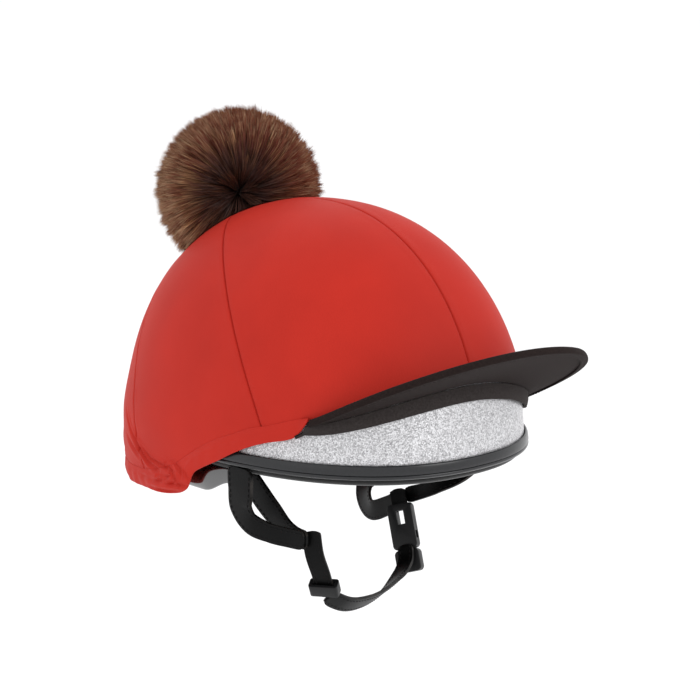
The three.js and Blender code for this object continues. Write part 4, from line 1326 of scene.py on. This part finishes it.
# %% [markdown]
# Where the pile meets the cover it is pressed flat rather than passing through it. Any point
# of a hair that would lie below the cloth is moved out along the cover's normal at the pole,
# until it stands on the cloth.

# %% The cover under the fur
LID_HEIGHT = 2.2
lid_normal = dome_normal(seat)


def off_cover(points):
    """How far each point stands off the cover, by its own spot on the dome."""
    below = dome_along(unit_rows(points))
    return np.linalg.norm(points, axis=1) - np.linalg.norm(below, axis=1) - LID_HEIGHT


print(f"the pompom's centre is {off_cover(centre[None])[0]:.1f} mm above the cloth")

# %% [markdown]
# The directions come next. Roots are spread evenly over a ball, and each hair bends from its
# root's direction towards its lock's. A lock leans away from the whorl, with a little swirl.
# Locks towards the pale side, low at the back, are lighter.

# %% Directions of the pile
LOCKS, SWIRL, NUDGE = 1600, 0.22, 1e-6
WHORL_FROM, WHORL_TO, WHORL_REACH = -0.12, 0.42, 2.3
whorl = np.array([-0.637, -0.767, 0.076])
pale_side = np.array([-0.635, 0.416, -0.589])


def sphere_points(count, seed):
    """Evenly spread directions, each moved a little by a seeded chance."""
    k = np.arange(count) + 0.5
    rise, turn = 1 - 2 * k / count, k * math.pi * (3 - math.sqrt(5))
    ring = np.sqrt(1 - rise ** 2)
    even = np.stack([ring * np.cos(turn), ring * np.sin(turn), rise], -1)
    jitter = np.random.default_rng(seed).normal(0, 1.2 / math.sqrt(count), even.shape)
    return unit_rows(even + jitter)


def from_whorl(roots):
    """The angle of each direction from the whorl's."""
    return np.arccos(np.clip(roots @ whorl, -1, 1))


def laid_over(roots, amount):
    """Turns each direction away from the whorl, most near it and not at all opposite."""
    away = roots - (roots @ whorl)[:, None] * whorl
    away = unit_rows(away + NUDGE)
    angle = from_whorl(roots)
    turn = amount * np.clip(1 - angle / WHORL_REACH, 0, 1)
    turn = turn * smooth_step(angle, WHORL_FROM, WHORL_TO)
    swirl = np.cross(whorl, away)
    return unit_rows(roots + (away + swirl * SWIRL) * np.tan(turn)[:, None])


lock_roots = sphere_points(LOCKS, 1)
chance = np.random.default_rng(2)
lock_lean = chance.uniform(0.75, 1.0, LOCKS)
lock_tips = unit_rows(laid_over(lock_roots, lock_lean) + chance.normal(0, 0.045, (LOCKS, 3)))
lock_length = chance.normal(1, 0.02, LOCKS)
lock_tone = chance.normal(0.07, 0.13, LOCKS) + 0.34 * np.clip(lock_roots @ pale_side, -0.4, 1)
print(f"{LOCKS} locks, with tones from {lock_tone.min():.2f} to {lock_tone.max():.2f}")

# %% [markdown]
# Four pieces hold the pile, so that none grows too large. Hairs near the whorl are shorter,
# which makes the hollow there, and they are painted darker, as painted shade in that hollow.
# About one hair in six is pale. A real hair is far thinner, so each ribbon stands for a few
# hairs that lie side by side.

# %% Hairs
HAIRS = 25000
HAIR_POINTS, HAIR_WIDTH = 7, 0.64
WHORL_SIZE, WHORL_DEPTH = 0.42, 0.28
PALE_SHARE, PALE_TONE = 0.16, 0.55


def fur(name, seed):
    chance = np.random.default_rng(seed)
    roots = sphere_points(HAIRS, seed)
    nearest = np.empty(HAIRS, int)
    for part in np.array_split(np.arange(HAIRS), 40):
        nearest[part] = np.argmax(roots[part] @ lock_roots.T, axis=1)
    own = laid_over(roots, lock_lean[nearest])
    tips = unit_rows(own * 0.6 + lock_tips[nearest] * 0.4 + chance.normal(0, 0.02, roots.shape))
    near_whorl = np.exp(-(from_whorl(roots) / WHORL_SIZE) ** 2)
    length = TIP_RADIUS * lock_length[nearest] * chance.uniform(0.9, 1, HAIRS)
    length *= 1 - WHORL_DEPTH * near_whorl
    foot = roots * ROOT_RADIUS
    top = tips * length[:, None]
    bend = unit_rows(roots * 0.7 + tips * 0.3) * (length * 0.86)[:, None]
    line = [foot]
    for t in (0.45, 0.8, 1):
        line.append(foot * (1 - t) ** 2 + 2 * bend * t * (1 - t) + top * t ** 2)
    run = unit_rows(top - foot)
    side = unit_rows(np.cross(run, tips) + chance.normal(0, 0.35, roots.shape))
    wide = HAIR_WIDTH * chance.uniform(0.5, 1, HAIRS)
    rows = []
    for point, share in zip(line, (1, 1, 0.7)):
        half = side * wide[:, None] * share / 2
        rows += [point - half, point + half]
    rows.append(line[3])
    points = (np.stack(rows, 1) + centre).reshape(-1, 3)
    stands = off_cover(points)[:, None]
    points = np.where(stands < 0, points - lid_normal * stands, points) * MM
    first = np.arange(HAIRS)[:, None] * HAIR_POINTS
    quads = np.concatenate([first + [0, 1, 3, 2], first + [2, 3, 5, 4]], 1).reshape(-1, 4)
    ends = first + [4, 5, 6]
    mesh = bpy.data.meshes.new(name)
    mesh.from_pydata(points.tolist(), [], quads.tolist() + ends.tolist())
    piece = bpy.data.objects.new(name, mesh)
    bpy.context.scene.collection.objects.link(piece)
    pale = chance.random(HAIRS) < PALE_SHARE
    tone = np.clip(lock_tone[nearest] + chance.normal(0, 0.1, HAIRS) + PALE_TONE * pale, 0, 1)
    # Near the whorl every hair takes the dark root end of its ramp all along: painted shade for the
    # hollow.
    reach = np.array([0, 0, 0.45, 0.45, 0.8, 0.8, 1]) * (1 - 0.6 * near_whorl)[:, None]
    drawn = np.stack([np.repeat(tone, HAIR_POINTS), reach.ravel()], 1)
    corners = np.empty(len(mesh.loops), int)
    mesh.loops.foreach_get("vertex_index", corners)
    mesh.uv_layers.new(name="hair").uv.foreach_set("vector", drawn[corners].ravel())
    dress(piece, dyed_pile, "fur", "pompom")


for number in range(1, 5):
    fur(f"pompom_pile_{number}", 10 + number)

# %% [markdown]
# ## Floor and light
# A plain pale floor lies well under the harness, because the cap is held up as a head holds
# it. It is large, so that its edge never comes into view.

# %% Floor
FLOOR_SIZE, FLOOR_DROP = 100, 0.25
floor_height = cad_box[0][2] - FLOOR_DROP
bpy.ops.object.select_all(action="DESELECT")
bpy.ops.mesh.primitive_plane_add(size=FLOOR_SIZE, location=(0, 0, floor_height))
floor = bpy.context.active_object
floor.name = "studio_floor"
pale_paint, tree = new_material("pale_studio_paint")
paint = add_node(
    tree, "ShaderNodeBsdfPrincipled", {"Base Color": linear("#fafafa"), "Roughness": 0.9},
)
add_node(tree, "ShaderNodeOutputMaterial", {"Surface": paint.outputs["BSDF"]})
floor.data.materials.append(pale_paint)
print(f"floor at {floor_height:.3f} m")

# %% [markdown]
# The pale room gives most of the light, as in a product picture. One large soft light stands
# in front and above, which shades the form. A weak one at the wearer's right and one behind
# keep the edges clear of the pale background.

# %% Light
ROOM_STRENGTH = 1.16


def area_light(name, place, size, watts, target=(0, 0, 0.05)):
    data = bpy.data.lights.new(name, "AREA")
    data.shape, data.size, data.energy = "DISK", size, watts
    light = bpy.data.objects.new(name, data)
    light.location = place
    light.rotation_mode = "QUATERNION"
    light.rotation_quaternion = (Vector(place) - Vector(target)).to_track_quat("Z", "Y")
    bpy.context.scene.collection.objects.link(light)


area_light("key_light", (0.5, -1.8, 1.1), 1.2, 10)
area_light("fill_light", (-1.8, -0.2, 0.7), 1.4, 0.7)
area_light("back_light", (0.7, 1.4, 1.5), 1.0, 2.5)
print("lights:", [light.name for light in bpy.data.lights])

room = bpy.data.worlds.new("pale_room")
bpy.context.scene.world = room
room.use_nodes = True
walls = room.node_tree.nodes["Background"].inputs
walls["Color"].default_value = linear("#f7f7f8")
walls["Strength"].default_value = ROOM_STRENGTH
